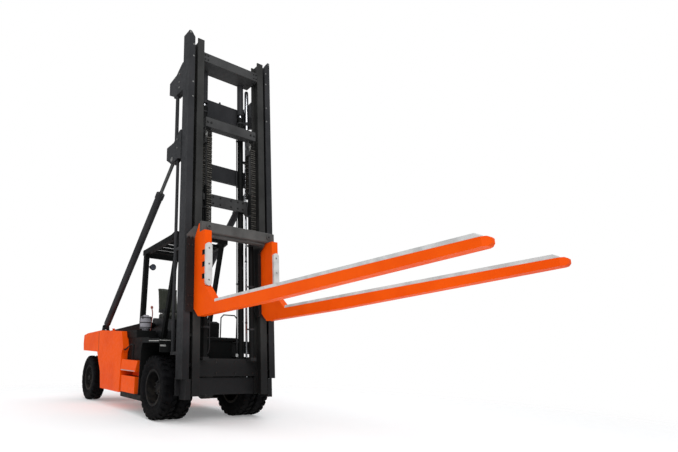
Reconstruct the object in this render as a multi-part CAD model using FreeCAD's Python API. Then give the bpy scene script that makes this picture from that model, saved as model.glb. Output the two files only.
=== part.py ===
import FreeCAD, Part
import math
import os
from FreeCAD import Vector

# Marina forklift: a counterbalanced truck on dual drive wheels with rear steering, a wide
# two-stage mast, a free-lifting carriage and two long box-section boat forks.
#
# Truck frame while modelling: +X forward, +Y left, +Z up, x = 0 at the drive axle, z = 0 on the
# ground.  The finished pieces are shifted along X so that the origin lies under the middle.
# Mast frame: x is v, forward from the back of the outer rails; z is u, up along the rails.

# ---- driving dimensions, mm and degrees ---------------------------------------------------------
# wheels
FRONT_TYRE_D = 1120.0
FRONT_TYRE_W = 270.0
DUAL_SPACING = 290.0
FRONT_RIM_D = 590.0
OVERALL_W = 2190.0
REAR_TYRE_D = 1030.0
REAR_TYRE_W = 290.0
REAR_RIM_D = 540.0
REAR_TRACK = 1810.0
WHEELBASE = 3850.0
KINGPIN_INSET = 205.0
# mast
MAST_TILT = 3.435
MAST_X = 680.0
MAST_Z = 411.0
MAST_HALF_W = 968.0
OUTER_FLANGE = 128.0
OUTER_TOP = 6960.0
OUTER_BOTTOM = 330.0
OUTER_DEPTH = 237.0
RAIL_T = 25.0
PIPE_V = -215.0
STRUT_V = -300.0
TIE_HIGH = 5870.0
BRACKET_LOW = 5790.0
TOP_BAR_U = 6400.0
MIDDLE_BAR_U = 3470.0
MIDDLE_BAR_H = 290.0
INNER_TOP = 6850.0
INNER_BOTTOM = 50.0
INNER_OUT = 780.0
INNER_FLANGE = 140.0
INNER_BACK = 10.0
INNER_DEPTH = 237.0
PIVOT_X = 300.0
PIVOT_Z = 600.0
PIVOT_PIN_R = 45.0
# carriage and forks
CARRIAGE_BACK = 254.0
CARRIAGE_T = 18.0
CARRIAGE_LOW = 1450.0
CARRIAGE_TOP = 3020.0
CARRIAGE_BAR_H = 190.0
CARRIAGE_BAR_BACK = 441.0
CARRIAGE_BAR_FRONT = 510.0
CARRIAGE_IN_Y = 590.0
FORK_Y = 720.0
FORK_W = 140.0
FORK_SHANK = 348.0
FORK_TIP = 5550.0
FORK_BOTTOM = 1360.0
FORK_DEPTH = 180.0
FORK_TOP = 2990.0
HEEL_RISE = 310.0
HEEL_RUN = 300.0
SLOT_H = 90.0
SLOT_DEPTH = 75.0
PAD_T = 45.0
PAD_LOW = 1850.0
PAD_HIGH = 2600.0
PAD_W = 124.0
# truck
CW_HALF_W = 1050.0
CW_REAR = -4580.0
CW_FRONT = -1720.0
CW_TOP = 1620.0
CW_BOTTOM = 340.0
CW_SHOULDER = 1130.0
ARCH_GAP = 100.0
CW_CREST = -3140.0
BAY_HALF_W = 515.0
DECK_Z = 1450.0
DECK_T = 30.0
DECK_FRONT = 240.0
DECK_BREAK = -640.0
DECK_HALF_W = 920.0
COWL_HALF_W = 560.0
HOOD_TOP = 1800.0
GUARD_HALF_W = 620.0
GUARD_REAR = -1970.0
GUARD_FRONT = -380.0
GUARD_TOP = 3390.0
POST = 100.0
LOCKER_TOP = 1600.0
LOCKER_FRONT = -1220.0
CLEANER_R = 115.0
FRAME_Y = 430.0
FRAME_T = 40.0
# cylinders and chains
TILT_Y = 925.0
TILT_FOOT_X = -3190.0
TILT_FOOT_Z = 1700.0
TILT_EYE_V = -360.0
TILT_EYE_U = 4450.0
TILT_BORE_D = 150.0
TILT_ROD_D = 70.0
TILT_PIN_R = 28.0
TILT_EYE_BORE = 42.0
TILT_SHOWN_ROD = 780.0
LIFT_Y = 430.0
LIFT_V = -100.0
LIFT_D = 116.0
LIFT_ROD_D = 70.0
LIFT_HEAD_U = 5620.0
RAM_Y = 500.0
RAM_V = 150.0
RAM_D = 100.0
RAM_ROD_D = 60.0
RAM_HEAD_U = 3850.0
SHEAVE_U = 4880.0
SHEAVE_R = 88.0
SHEAVE_PIN_R = 22.0
CROSSHEAD_U = 5020.0
CHAIN_W = 100.0
CHAIN_T = 24.0
GAP = 0.3

FRONT_R = FRONT_TYRE_D / 2
REAR_R = REAR_TYRE_D / 2
CW_ARCH = REAR_TYRE_D + ARCH_GAP
FRONT_OUT_Y = OVERALL_W / 2 - FRONT_TYRE_W / 2
FRONT_IN_Y = FRONT_OUT_Y - DUAL_SPACING
HUB_Y = FRONT_IN_Y + DUAL_SPACING / 2
REAR_Y = REAR_TRACK / 2
KINGPIN_Y = REAR_Y - KINGPIN_INSET
INNER_FRONT = INNER_BACK + INNER_DEPTH
CARRIAGE_FRONT = CARRIAGE_BACK + CARRIAGE_T
TILT_SIN = math.sin(math.radians(MAST_TILT))
TILT_COS = math.cos(math.radians(MAST_TILT))

parts = {}


# ---- helpers ------------------------------------------------------------------------------------
def box(x0, x1, y0, y1, z0, z1):
    return Part.makeBox(x1 - x0, y1 - y0, z1 - z0, Vector(x0, y0, z0))


def tube_y(r, y0, y1, x, z, bore=0.0):
    body = Part.makeCylinder(r, y1 - y0, Vector(x, y0, z), Vector(0, 1, 0))
    if bore:
        body = body.cut(Part.makeCylinder(bore, y1 - y0 + 2, Vector(x, y0 - 1, z), Vector(0, 1, 0)))
    return body


def tube_z(r, z0, z1, x, y):
    return Part.makeCylinder(r, z1 - z0, Vector(x, y, z0))


def prism_y(points, y0, y1):
    """Extrude an (x, z) outline along Y."""
    wire = Part.makePolygon([Vector(x, y0, z) for x, z in points + points[:1]])
    return Part.Face(wire).extrude(Vector(0, y1 - y0, 0))


def prism_x(points, x0, x1):
    """Extrude a (y, z) outline along X."""
    wire = Part.makePolygon([Vector(x0, y, z) for y, z in points + points[:1]])
    return Part.Face(wire).extrude(Vector(x1 - x0, 0, 0))


def prism_z(points, z0, z1):
    """Extrude an (x, y) outline along Z."""
    wire = Part.makePolygon([Vector(x, y, z0) for x, y in points + points[:1]])
    return Part.Face(wire).extrude(Vector(0, 0, z1 - z0))


def rod(a, b, r):
    a = Vector(*a)
    b = Vector(*b)
    return Part.makeCylinder(r, (b - a).Length, a, b - a)


def pipe_run(points, r):
    """Round bar swept along a polyline with mitred corners."""
    path = Part.makePolygon([Vector(*p) for p in points])
    way = Vector(*points[1]) - Vector(*points[0])
    ring = Part.Wire(Part.makeCircle(r, Vector(*points[0]), way))
    return path.makePipeShell([ring], True, False, 1)


def fuse(*shapes):
    out = shapes[0]
    if len(shapes) > 1:
        out = out.multiFuse(list(shapes[1:]))
    return out.removeSplitter()


def mirror(shape):
    return shape.mirror(Vector(0, 0, 0), Vector(0, 1, 0))


def both(shape):
    return Part.makeCompound([shape, mirror(shape)])


def at_mast(shape):
    """Carry a shape from the mast frame to the truck frame."""
    out = shape.copy()
    out.rotate(Vector(0, 0, 0), Vector(0, 1, 0), -MAST_TILT)
    out.translate(Vector(MAST_X, 0, MAST_Z))
    return out


def mast_point(v, y, u):
    return Vector(MAST_X + v * TILT_COS - u * TILT_SIN, y, MAST_Z + v * TILT_SIN + u * TILT_COS)


def to_mast(x, z):
    """(v, u) of a truck-frame point."""
    dx = x - MAST_X
    dz = z - MAST_Z
    return dx * TILT_COS + dz * TILT_SIN, -dx * TILT_SIN + dz * TILT_COS


# ---- wheels -------------------------------------------------------------------------------------
def revolve_y(points):
    """Revolve a closed (y, radius) outline about the Y axis."""
    outline = [Vector(0, yy, rr) for yy, rr in points]
    outline.append(outline[0])
    return Part.Face(Part.makePolygon(outline)).revolve(Vector(0, 0, 0), Vector(0, 1, 0), 360)


def tyre(r, width, bore_r, y):
    """Tyre section: straight beads, bulging walls, round shoulders and a flat crown."""
    h = width / 2
    bead = width * 0.36
    wall = r - bore_r
    side = [(bead, bore_r), (h, bore_r + wall * 0.5), (h * 0.93, r - 40), (h * 0.7, r)]
    points = [(y + a, b) for a, b in side] + [(y - a, b) for a, b in reversed(side)]
    return revolve_y(points)


def rim_outline(y_mid, width, rim_r, disc_y, hub_r):
    """(y, radius) outline of a rim: barrel, one flange a side, and a disc standing at disc_y."""
    b = width * 0.36
    low = rim_r - 14
    flange = rim_r + 26
    well = rim_r - 40
    return [(y_mid - b - 14, low), (y_mid - b - 14, flange), (y_mid - b - 2, rim_r), (y_mid + b + 2, rim_r),
            (y_mid + b + 14, flange), (y_mid + b + 14, low), (disc_y + 9, well), (disc_y + 9, hub_r),
            (disc_y - 9, hub_r), (disc_y - 9, well)]


def front_tyres():
    pair = [tyre(FRONT_R, FRONT_TYRE_W, FRONT_RIM_D / 2 + GAP, y) for y in (FRONT_OUT_Y, FRONT_IN_Y)]
    out = Part.makeCompound(pair)
    out.translate(Vector(0, 0, FRONT_R))
    return out


def front_rims():
    """Both rims of a dual pair, dished towards each other on the hub flange, with the hub drum."""
    outer = revolve_y(rim_outline(FRONT_OUT_Y, FRONT_TYRE_W, FRONT_RIM_D / 2, HUB_Y + 9, 130.0))
    inner = revolve_y(rim_outline(FRONT_IN_Y, FRONT_TYRE_W, FRONT_RIM_D / 2, HUB_Y - 9, 130.0))
    bore = 70 + GAP
    drum = revolve_y([(HUB_Y - 60, bore), (HUB_Y - 60, 150), (HUB_Y + 30, 150), (HUB_Y + 120, 130),
                      (HUB_Y + 135, 88), (HUB_Y + 168, 78), (HUB_Y + 168, 0), (HUB_Y + 44, 0),
                      (HUB_Y + 44, bore)])
    out = fuse(outer, inner, drum)
    out.translate(Vector(0, 0, FRONT_R))
    return out


def rear_tyre():
    out = tyre(REAR_R, REAR_TYRE_W, REAR_RIM_D / 2 + GAP, REAR_Y)
    out.translate(Vector(-WHEELBASE, 0, REAR_R))
    return out


def rear_rim():
    disc = REAR_Y + 30
    ring = revolve_y(rim_outline(REAR_Y, REAR_TYRE_W, REAR_RIM_D / 2, disc, 110.0))
    bore = 54 + GAP
    hub = revolve_y([(disc - 100, bore), (disc - 100, 120), (disc + 20, 120), (disc + 52, 70),
                     (disc + 82, 62), (disc + 82, 0), (disc + 24, 0), (disc + 24, bore)])
    out = fuse(ring, hub)
    out.translate(Vector(-WHEELBASE, 0, REAR_R))
    return out


def rear_knuckle():
    """Kingpin block with the stub axle that carries a rear wheel and its steering arm."""
    x = -WHEELBASE
    block = tube_z(72, REAR_R - 130, REAR_R + 130, x, KINGPIN_Y)
    pin = tube_z(34, REAR_R - 186, REAR_R + 186, x, KINGPIN_Y)
    stub = tube_y(54, KINGPIN_Y, REAR_Y + 48, x, REAR_R)
    collar = tube_y(84, KINGPIN_Y, REAR_Y - 76, x, REAR_R)
    arm = box(x - 34, x + 220, KINGPIN_Y - 34, KINGPIN_Y + 34, REAR_R - 212, REAR_R - 178)
    return fuse(block, pin, stub, collar, arm)


def steer_axle():
    """Rear axle beam with a fork round each kingpin and a centre trunnion."""
    x = -WHEELBASE
    eye_in = KINGPIN_Y - 105
    pieces = [box(x - 100, x + 100, -eye_in, eye_in, REAR_R - 95, REAR_R + 95)]
    for side in (-1, 1):
        for z0, z1 in ((REAR_R - 172, REAR_R - 130 - GAP), (REAR_R + 130 + GAP, REAR_R + 172)):
            y0, y1 = sorted((side * KINGPIN_Y, side * (eye_in - 90)))
            ear = fuse(tube_z(78, z0, z1, x, side * KINGPIN_Y), box(x - 70, x + 70, y0, y1, z0, z1))
            pieces.append(ear.cut(tube_z(34 + GAP, z0 - 1, z1 + 1, x, side * KINGPIN_Y)))
        y0, y1 = sorted((side * eye_in, side * (eye_in - 90)))
        pieces.append(box(x - 90, x + 90, y0, y1, REAR_R - 172, REAR_R + 172))
    pieces.append(Part.makeCylinder(70, 620, Vector(x - 310, 0, REAR_R + 60), Vector(1, 0, 0)))
    return fuse(*pieces)


def drive_axle():
    """Front axle housing with its differential bulge and the wheel ends."""
    housing = tube_y(118, -(HUB_Y - 80), HUB_Y - 80, 0, FRONT_R)
    ends = tube_y(70, -(HUB_Y + 40), HUB_Y + 40, 0, FRONT_R)
    bulge = revolve_y([(-225, 0), (-190, 130), (-80, 225), (80, 225), (190, 130), (225, 0)])
    bulge.translate(Vector(0, 0, FRONT_R))
    return fuse(housing, ends, bulge)


# ---- chassis ------------------------------------------------------------------------------------
def frame():
    """Deep side plates with the mast pivot bosses, cross plates, engine shelf and step sills."""
    y0 = FRAME_Y
    y1 = FRAME_Y + FRAME_T
    under = DECK_Z - DECK_T
    outline = [(-3049, 470), (-700, 400), (PIVOT_X - 60, 470), (PIVOT_X + 45, 520), (PIVOT_X + 90, PIVOT_Z),
               (PIVOT_X + 40, PIVOT_Z + 85), (150, 900), (150, under), (-1500, under), (-1740, 1120),
               (-3049, 1120)]
    side = prism_y(outline, y0, y1)
    side = side.cut(tube_y(118 + GAP, y0 - 1, y1 + 1, 0, FRONT_R))
    side = side.cut(tube_y(PIVOT_PIN_R + GAP, y0 - 1, y1 + 1, PIVOT_X, PIVOT_Z))
    sill = box(-1670, -620, y1 - 5, CW_HALF_W - 20, 270, 370)
    strut = box(-1600, -1000, y0, y1, 275, 450)
    web = box(-640, -600, y1 - 5, BAY_HALF_W + 10, 300, under)
    left = fuse(side, sill, strut, web)
    cross = [box(-3049, -3009, -y0, y0, 480, 1120), box(-1500, -1460, -y0, y0, 450, under),
             box(-2800, -2100, -y0, y0, 520, 560), box(-700, -300, -y0, y0, 880, 920),
             box(110, 150, -y0, y0, 900, under)]
    return fuse(left, mirror(left), *cross)


def cw_outline():
    """Side outline of the counterweight, with the arch over the steered wheel."""
    return [(-1780, cw_top(-1780)), (-1640, 1230), (CW_FRONT, CW_SHOULDER), (CW_FRONT, CW_BOTTOM),
            (-2900, CW_BOTTOM), (-3000, 710), (-3310, CW_ARCH), (-4470, CW_ARCH + 15),
            (CW_REAR, 1510), (-4210, cw_top(-4210)), (CW_CREST, CW_TOP)]


def cw_top(x):
    """Height of the counterweight's top, which falls away both ways from its crest."""
    fall = 0.0294 if x > CW_CREST else 0.0495
    return CW_TOP - fall * abs(x - CW_CREST)


def counterweight():
    """Cast counterweight: cheeks ahead of the steered wheels, a rear block over them, axle hanger."""
    w = CW_HALF_W
    body = prism_y(cw_outline(), -w, w)
    plan = [(CW_REAR - 10, 120 - w), (CW_REAR - 10, w - 120), (CW_REAR + 60, w - 30), (CW_CREST, w),
            (-1500, w), (-1500, -w), (CW_CREST, -w), (CW_REAR + 60, 30 - w)]
    body = body.common(prism_z(plan, 0, 3000))
    body = body.cut(box(-3050, -1500, -BAY_HALF_W, BAY_HALF_W, 0, 3000))
    body = body.cut(box(CW_REAR - 10, -4420, -430, 430, 1200, 1470))
    hangers = []
    for x in (-WHEELBASE - 290, -WHEELBASE + 130):
        top = CW_ARCH + 70
        plate = prism_x([(-190, top), (-190, REAR_R + 125), (-110, REAR_R - 60), (110, REAR_R - 60),
                         (190, REAR_R + 125), (190, top)], x, x + 160)
        bore = Part.makeCylinder(70 + GAP, 162, Vector(x - 1, 0, REAR_R + 60), Vector(1, 0, 0))
        hangers.append(plate.cut(bore))
    return fuse(body, *hangers)


def tilt_foot():
    """Bolted foot with two cheeks and the pin for one tilt cylinder, on the counterweight's crest."""
    x = TILT_FOOT_X
    z = TILT_FOOT_Z
    under = [(a, cw_top(a) + GAP) for a in (x - 100, CW_CREST, x + 100)]
    plate = prism_y(under + [(a, b + 12) for a, b in reversed(under)], TILT_Y - 78, TILT_Y + 78)
    cheek = prism_y([(x - 80, z - 82), (x + 80, z - 79), (x + 48, z + 30), (x, z + 50), (x - 48, z + 30)],
                    TILT_Y + 44, TILT_Y + 64)
    cheek_in = cheek.translated(Vector(0, -108, 0))
    pin = tube_y(TILT_PIN_R, TILT_Y - 70, TILT_Y + 70, x, z)
    return fuse(plate, cheek, cheek_in, pin)


def radiator_grille():
    """Framed louvres in the rear of the counterweight."""
    ring = box(-4500, -4420 - GAP, -430 + GAP, 430 - GAP, 1200 + GAP, 1470 - GAP)
    ring = ring.cut(box(-4510, -4440, -395, 395, 1235, 1435))
    bars = []
    for k in range(5):
        z = 1262 + 36 * k
        bars.append(prism_y([(-4494, z - 4), (-4439, z + 14), (-4439, z + 22), (-4494, z + 4)], -396, 396))
    return fuse(ring, *bars)


def hood():
    """Engine cover: a shell in the bay that runs back over the counterweight."""
    y = BAY_HALF_W - GAP
    top = [(-4200, 1568), (-4200, 1640), (-1830, HOOD_TOP), (-1765, HOOD_TOP - 35), (-1765, DECK_Z - 10),
           (-3049, DECK_Z - 10), (-3049, CW_TOP + 2), (-3140, CW_TOP + GAP)]
    body = prism_y(top, -y, y)
    cavity = prism_y([(-3019, 1400), (-3019, 1688), (-1850, HOOD_TOP - 34), (-1795, HOOD_TOP - 60),
                      (-1795, 1400)], -y + 30, y - 30)
    return body.cut(cavity)


def engine():
    return box(-2850, -2050, -330, 330, 560, 1380)


def fender():
    """Left mudguard: apron behind the duals, sloping corner, flat top and a short front lip."""
    top = DECK_Z - DECK_T
    back = DECK_BREAK - GAP
    outer = [(back, 371), (back, 1180), (-560, top), (190, top), (DECK_FRONT, 1180)]
    inner = [(DECK_FRONT - 18, 1180), (178, top - 16), (-550, top - 16), (back + 16, 1180), (back + 16, 371)]
    return prism_y(outer + inner, BAY_HALF_W + 10 + GAP, OVERALL_W / 2 - 15)


def deck():
    """Floor plate with its front bulkhead, the low cowl and a side panel under each edge."""
    z0 = DECK_Z - DECK_T
    w = DECK_HALF_W
    c = COWL_HALF_W
    plan = [(-1760, -w), (DECK_BREAK, -w), (DECK_BREAK, -c), (DECK_FRONT, -c), (DECK_FRONT, c),
            (DECK_BREAK, c), (DECK_BREAK, w), (-1760, w)]
    plate = prism_z(plan, z0, DECK_Z)
    plate = plate.cut(prism_y(cw_outline(), -1200, -BAY_HALF_W + 1))
    plate = plate.cut(prism_y(cw_outline(), BAY_HALF_W - 1, 1200))
    cheek = prism_y(cw_outline(), 800, 1000).translated(Vector(GAP, 0, 0))
    skirt = box(-1700, DECK_BREAK - 60, w - 30, w, 1010, z0 + 1).cut(cheek)
    bulkhead = box(151, 195, -FRAME_Y, FRAME_Y, 1000, z0 + 1)
    cowl = prism_y([(-60, DECK_Z - 1), (DECK_FRONT, DECK_Z - 1), (DECK_FRONT, DECK_Z + 12),
                    (DECK_FRONT - 50, 1480), (-60, 1480)], -c, c)
    dash = prism_y([(-330, DECK_Z - 1), (-120, DECK_Z - 1), (-120, 1760), (-230, 1800), (-300, 1740)],
                   -330, 330)
    return fuse(plate, skirt, mirror(skirt), bulkhead, cowl, dash)


def steps():
    """Left step: upper locker and lower tread box round a dark toe gap, on the sill."""
    w = CW_HALF_W
    top = prism_y([(-1705, 782), (-1660, 1005), (-820, 1000), (-925, 780)], 560, w)
    low = prism_y([(-1650, 370), (-1650, 690), (-930, 690), (-930, 370)], 560, w - 10)
    link = box(-1560, -980, 600, 840, 680, 800)
    return fuse(top, low, link)


def console():
    """Right-hand side console with its lever bank."""
    body = prism_y([(-1600, DECK_Z), (-800, DECK_Z), (-800, 1600), (-1000, 1840), (-1560, 1880),
                    (-1600, 1840)], -455, -290)
    levers = []
    for k in range(4):
        x = -1180 - 75 * k
        levers.append(rod((x, -372, 1800), (x + 14, -372, 2020), 8))
        levers.append(rod((x + 13, -372, 2010), (x + 16, -372, 2055), 19))
    return fuse(body, *levers)


def seat_base():
    return prism_y([(-1740, DECK_Z), (-1380, DECK_Z), (-1330, 1860), (-1760, 1860)], -225, 225)


def seat_cushion():
    return box(-1830, -1310, -255, 255, 1860, 2000)


def seat_back():
    return prism_y([(-1850, 2000), (-1725, 2000), (-1880, 2590), (-1985, 2590)], -240, 240)


def steering_wheel():
    """Column on a pedestal with a three-spoke wheel square to it."""
    foot = Vector(-410, 0, 1500)
    top = Vector(-720, 0, 2060)
    axis = (top - foot).normalize()
    column = Part.makeCylinder(36, (top - foot).Length, foot, axis)
    pedestal = prism_y([(-520, DECK_Z), (-335, DECK_Z), (-350, 1620), (-470, 1620)], -80, 80)
    turns = [math.radians(60 * k) for k in range(7)]
    section = [Vector(195 + 15 * math.cos(a), 0, 15 * math.sin(a)) for a in turns]
    ring = Part.Face(Part.makePolygon(section)).revolve(Vector(0, 0, 0), Vector(0, 0, 1), 360)
    spokes = [rod((20 * math.cos(a), 20 * math.sin(a), 0), (192 * math.cos(a), 192 * math.sin(a), 0), 11)
              for a in (math.radians(90 + 120 * k) for k in range(3))]
    wheel = fuse(ring, Part.makeCylinder(46, 44, Vector(0, 0, -22)), *spokes)
    wheel.rotate(Vector(0, 0, 0), Vector(0, 1, 0), math.degrees(math.atan2(axis.x, axis.z)))
    wheel.translate(top)
    return fuse(column, pedestal, wheel)


def roof_z(x):
    """Height of the roof rail's top edge: it rises forwards, faster near the front."""
    if x > -550:
        return GUARD_TOP + 120 + 50 * (x + 550) / 170
    return GUARD_TOP + 120 * (x - GUARD_REAR) / (-550 - GUARD_REAR)


def overhead_guard():
    """Upright rear posts, raked front posts, side rails, cross members and a lamp on its arm."""
    w = GUARD_HALF_W
    d = 110.0
    x0 = GUARD_REAR
    x1 = GUARD_FRONT
    post = prism_y([(x0 + 50, cw_top(x0 + 50) + 0.1), (x0 + 150, cw_top(x0 + 150) + 0.1),
                    (x0 + 150, roof_z(x0) - 20), (x0 + 50, roof_z(x0) - 20)], w - POST, w)
    rake = prism_y([(-950, DECK_Z), (-850, DECK_Z), (x1, roof_z(x1) - d), (x1, roof_z(x1) - 20),
                    (x1 - 90, roof_z(x1) - 40)], 470, 540)
    rail = prism_y([(x0, roof_z(x0) - d), (x0, roof_z(x0)), (-550, roof_z(-550)), (x1, roof_z(x1)),
                    (x1, roof_z(x1) - d), (-550, roof_z(-550) - d)], w - POST, w)
    pieces = [post, rake, rail, mirror(post), mirror(rake), mirror(rail)]
    pieces.append(box(x0, x0 + 60, -w + 20, w - 20, roof_z(x0) - 150, roof_z(x0) - 10))
    pieces.append(box(x1 - 60, x1, -w + 20, w - 20, roof_z(x1) - 95, roof_z(x1) - 15))
    for x in (-1690, -1430, -1170, -910, -650):
        pieces.append(box(x - 25, x + 25, -w + 20, w - 20, roof_z(x) - 90, roof_z(x) - 25))
    px = x0 + 150
    pieces.append(rod((px - 20, -w + 50, 3020), (px + 130, -w + 120, 3000), 14))
    lamp = Part.makeCone(46, 66, 80, Vector(px + 100, -w + 110, 2998), Vector(1, 0.1, -0.12))
    pieces.append(lamp)
    return fuse(*pieces)


def side_locker():
    """Left box on the deck between the counterweight's cheek and the way in."""
    z0 = DECK_Z + GAP
    return prism_y([(-1725, z0), (LOCKER_FRONT, z0), (LOCKER_FRONT - 30, LOCKER_TOP), (-1777, LOCKER_TOP),
                    (-1777, 1580)], BAY_HALF_W + 8, 940)


def air_cleaner():
    """Upright canister on the right-hand side box."""
    x = LOCKER_FRONT - CLEANER_R - 40
    y = -700.0
    foot = tube_z(70, LOCKER_TOP + GAP, 1645, x, y)
    can = tube_z(CLEANER_R, 1640, 1880, x, y)
    cap = Part.makeCone(CLEANER_R - 20, 45, 40, Vector(x, y, 1880))
    return fuse(foot, can, cap)


def handrails():
    """Rail beside each step and the hose hoop behind the mast."""
    y = CW_HALF_W - 30
    rail = pipe_run([(-1140, y, 1002.2), (-1140, y, 1296), (-1280, y, 1310), (-1590, y, 1195),
                     (-1640, y, 1200)], 14)
    hoop = pipe_run([(-150, 380, 1480 + GAP), (-150, 380, 1880), (-150, 440, 1940), (-150, 700, 1940),
                     (-150, 760, 1880), (-150, 760, DECK_Z - DECK_T + GAP)], 12)
    return Part.makeCompound([rail, mirror(rail), hoop])


# ---- outer mast ----------------------------------------------------------------------------------
def outer_rail():
    """Left C rail, open inboard, with its foot and the two rear bracket pairs."""
    y1 = MAST_HALF_W
    y0 = y1 - OUTER_FLANGE
    d = OUTER_DEPTH
    t = RAIL_T
    section = [(0, y0), (0, y1), (d, y1), (d, y0), (d - t, y0), (d - t, y1 - 26), (t, y1 - 26), (t, y0)]
    rail = prism_z(section, OUTER_BOTTOM, OUTER_TOP)
    corner = [(y0 - 1, OUTER_TOP - 110), (y0 + 80, OUTER_TOP + 1), (y0 - 1, OUTER_TOP + 1)]
    rail = rail.cut(prism_x(corner, -1, d + 1))
    foot = box(0, d, y0 - 40, y0 + 50, 0, OUTER_BOTTOM)
    b = BRACKET_LOW
    upper = prism_y([(0, b + 600), (-60, b + 600), (-300, b + 460), (-600, b + 425), (-600, b + 160),
                     (-350, b), (0, b)], y1 - 30, y1 - 4)
    upper_in = upper.translated(Vector(0, -92, 0))
    v = TILT_EYE_V
    u = TILT_EYE_U
    cheek = clevis_cheek()
    cheek_in = cheek.translated(Vector(0, -96, 0))
    pin = tube_y(TILT_PIN_R, TILT_Y - 50, TILT_Y + 50, v, u)
    web_high = box(-420, 0, y1 - 100, y1 - 20, b + 10, b + 40)
    web_low = box(-560, 0, TILT_Y - 50, TILT_Y + 50, u + 230, u + 250)
    return fuse(rail, foot, upper, upper_in, web_high, web_low, cheek, cheek_in, pin)


def clevis_cheek():
    """One cheek of the bracket that holds the tilt cylinder's rod."""
    v = TILT_EYE_V
    u = TILT_EYE_U
    return prism_y([(0, u + 480), (-60, u + 480), (-300, u + 325), (-600, u + 325), (-600, u + 65),
                    (v - 85, u - 45), (v - 50, u - 80), (v + 60, u - 80), (-120, u - 60), (0, u - 120)],
                   TILT_Y + 38, TILT_Y + 58)


def outer_ties():
    """Rear tie beams with swept ends, the base tie with its pivot lugs and pins."""
    ties = []
    y1 = MAST_HALF_W
    for u0, u1 in ((TIE_HIGH - 370, TIE_HIGH), (4170, 4480)):
        beam = box(-260, -180, -700, 700, u0, u1)
        end = prism_z([(-260, 690), (-180, 690), (-40, y1 - 128), (-GAP, y1 - 128), (-GAP, y1 - 104),
                       (-100, y1 - 104)], u0 + 20, min(u1 - 20, BRACKET_LOW - 5))
        ties.append(fuse(beam, end, mirror(end)))
    eye = prism_x([(-30, TIE_HIGH - 5), (30, TIE_HIGH - 5), (12, TIE_HIGH + 60), (-12, TIE_HIGH + 60)],
                  -230, -210)
    ties[0] = fuse(ties[0], eye)
    plate = box(-30, -GAP, -y1 + 5, y1 - 5, 60, 350)
    beam = box(-200, -20, -500, 500, 100, 350)
    pv, pu = to_mast(PIVOT_X, PIVOT_Z)
    lug = prism_y([(-190, 110), (-190, 340), (pv + 30, pu + 84), (pv - 40, pu + 78), (pv - 86, pu + 10),
                   (pv - 60, pu - 65), (pv + 20, pu - 86)], FRAME_Y - 66, FRAME_Y - 2)
    pin = tube_y(PIVOT_PIN_R, FRAME_Y - 70, FRAME_Y + FRAME_T + 6, pv, pu)
    base = fuse(plate, beam, lug, mirror(lug), pin, mirror(pin))
    return Part.makeCompound(ties + [base])


def lift_barrels():
    """Main lift cylinder, standing on the base tie and stayed to the top tie."""
    r = LIFT_D / 2
    barrel = tube_z(r, 350 + GAP, LIFT_HEAD_U - 120, LIFT_V, LIFT_Y)
    head = tube_z(r + 10, LIFT_HEAD_U - 130, LIFT_HEAD_U, LIFT_V, LIFT_Y)
    stay = box(-180 + GAP, LIFT_V, LIFT_Y - 30, LIFT_Y + 30, 5520, 5600)
    stay2 = box(-180 + GAP, LIFT_V, LIFT_Y - 30, LIFT_Y + 30, 4290, 4350)
    bore = tube_z(LIFT_ROD_D / 2 + GAP, 450, LIFT_HEAD_U + 10, LIFT_V, LIFT_Y)
    return both(fuse(barrel, head, stay, stay2).cut(bore))


def mast_pipes():
    """Slender pipe behind each outer rail below the rod bracket, and a strut between the brackets."""
    pipe = tube_z(30, 760, TILT_EYE_U + 230 - GAP, PIPE_V, TILT_Y)
    foot = box(PIPE_V - 25, -GAP, TILT_Y - 30, TILT_Y + 30, 740, 790)
    clip = box(PIPE_V - 15, -GAP, TILT_Y - 12, TILT_Y + 12, 2600, 2650)
    strut = tube_z(36, TILT_EYE_U + 250 + GAP, BRACKET_LOW - GAP, STRUT_V, TILT_Y)
    return Part.makeCompound([both(fuse(pipe, foot, clip)), both(strut)])


# ---- inner mast ----------------------------------------------------------------------------------
def inner_rail():
    """Left I rail with the two guide rollers that run in the outer rail."""
    y0 = INNER_OUT - INNER_FLANGE
    y1 = INNER_OUT
    x0 = INNER_BACK
    x1 = INNER_FRONT
    t = RAIL_T
    m = (y0 + y1) / 2
    section = [(x0, y0), (x0, y1), (x0 + t, y1), (x0 + t, m + 12), (x1 - t, m + 12), (x1 - t, y1), (x1, y1),
               (x1, y0), (x1 - t, y0), (x1 - t, m - 12), (x0 + t, m - 12), (x0 + t, y0)]
    rail = prism_z(section, INNER_BOTTOM, INNER_TOP)
    pieces = [rail]
    for u in (560, 1060):
        pieces.append(tube_y(34, m, MAST_HALF_W - 100, OUTER_DEPTH / 2, u))
        pieces.append(tube_y(87, MAST_HALF_W - 112, MAST_HALF_W - 40, OUTER_DEPTH / 2, u))
    return fuse(*pieces)


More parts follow.
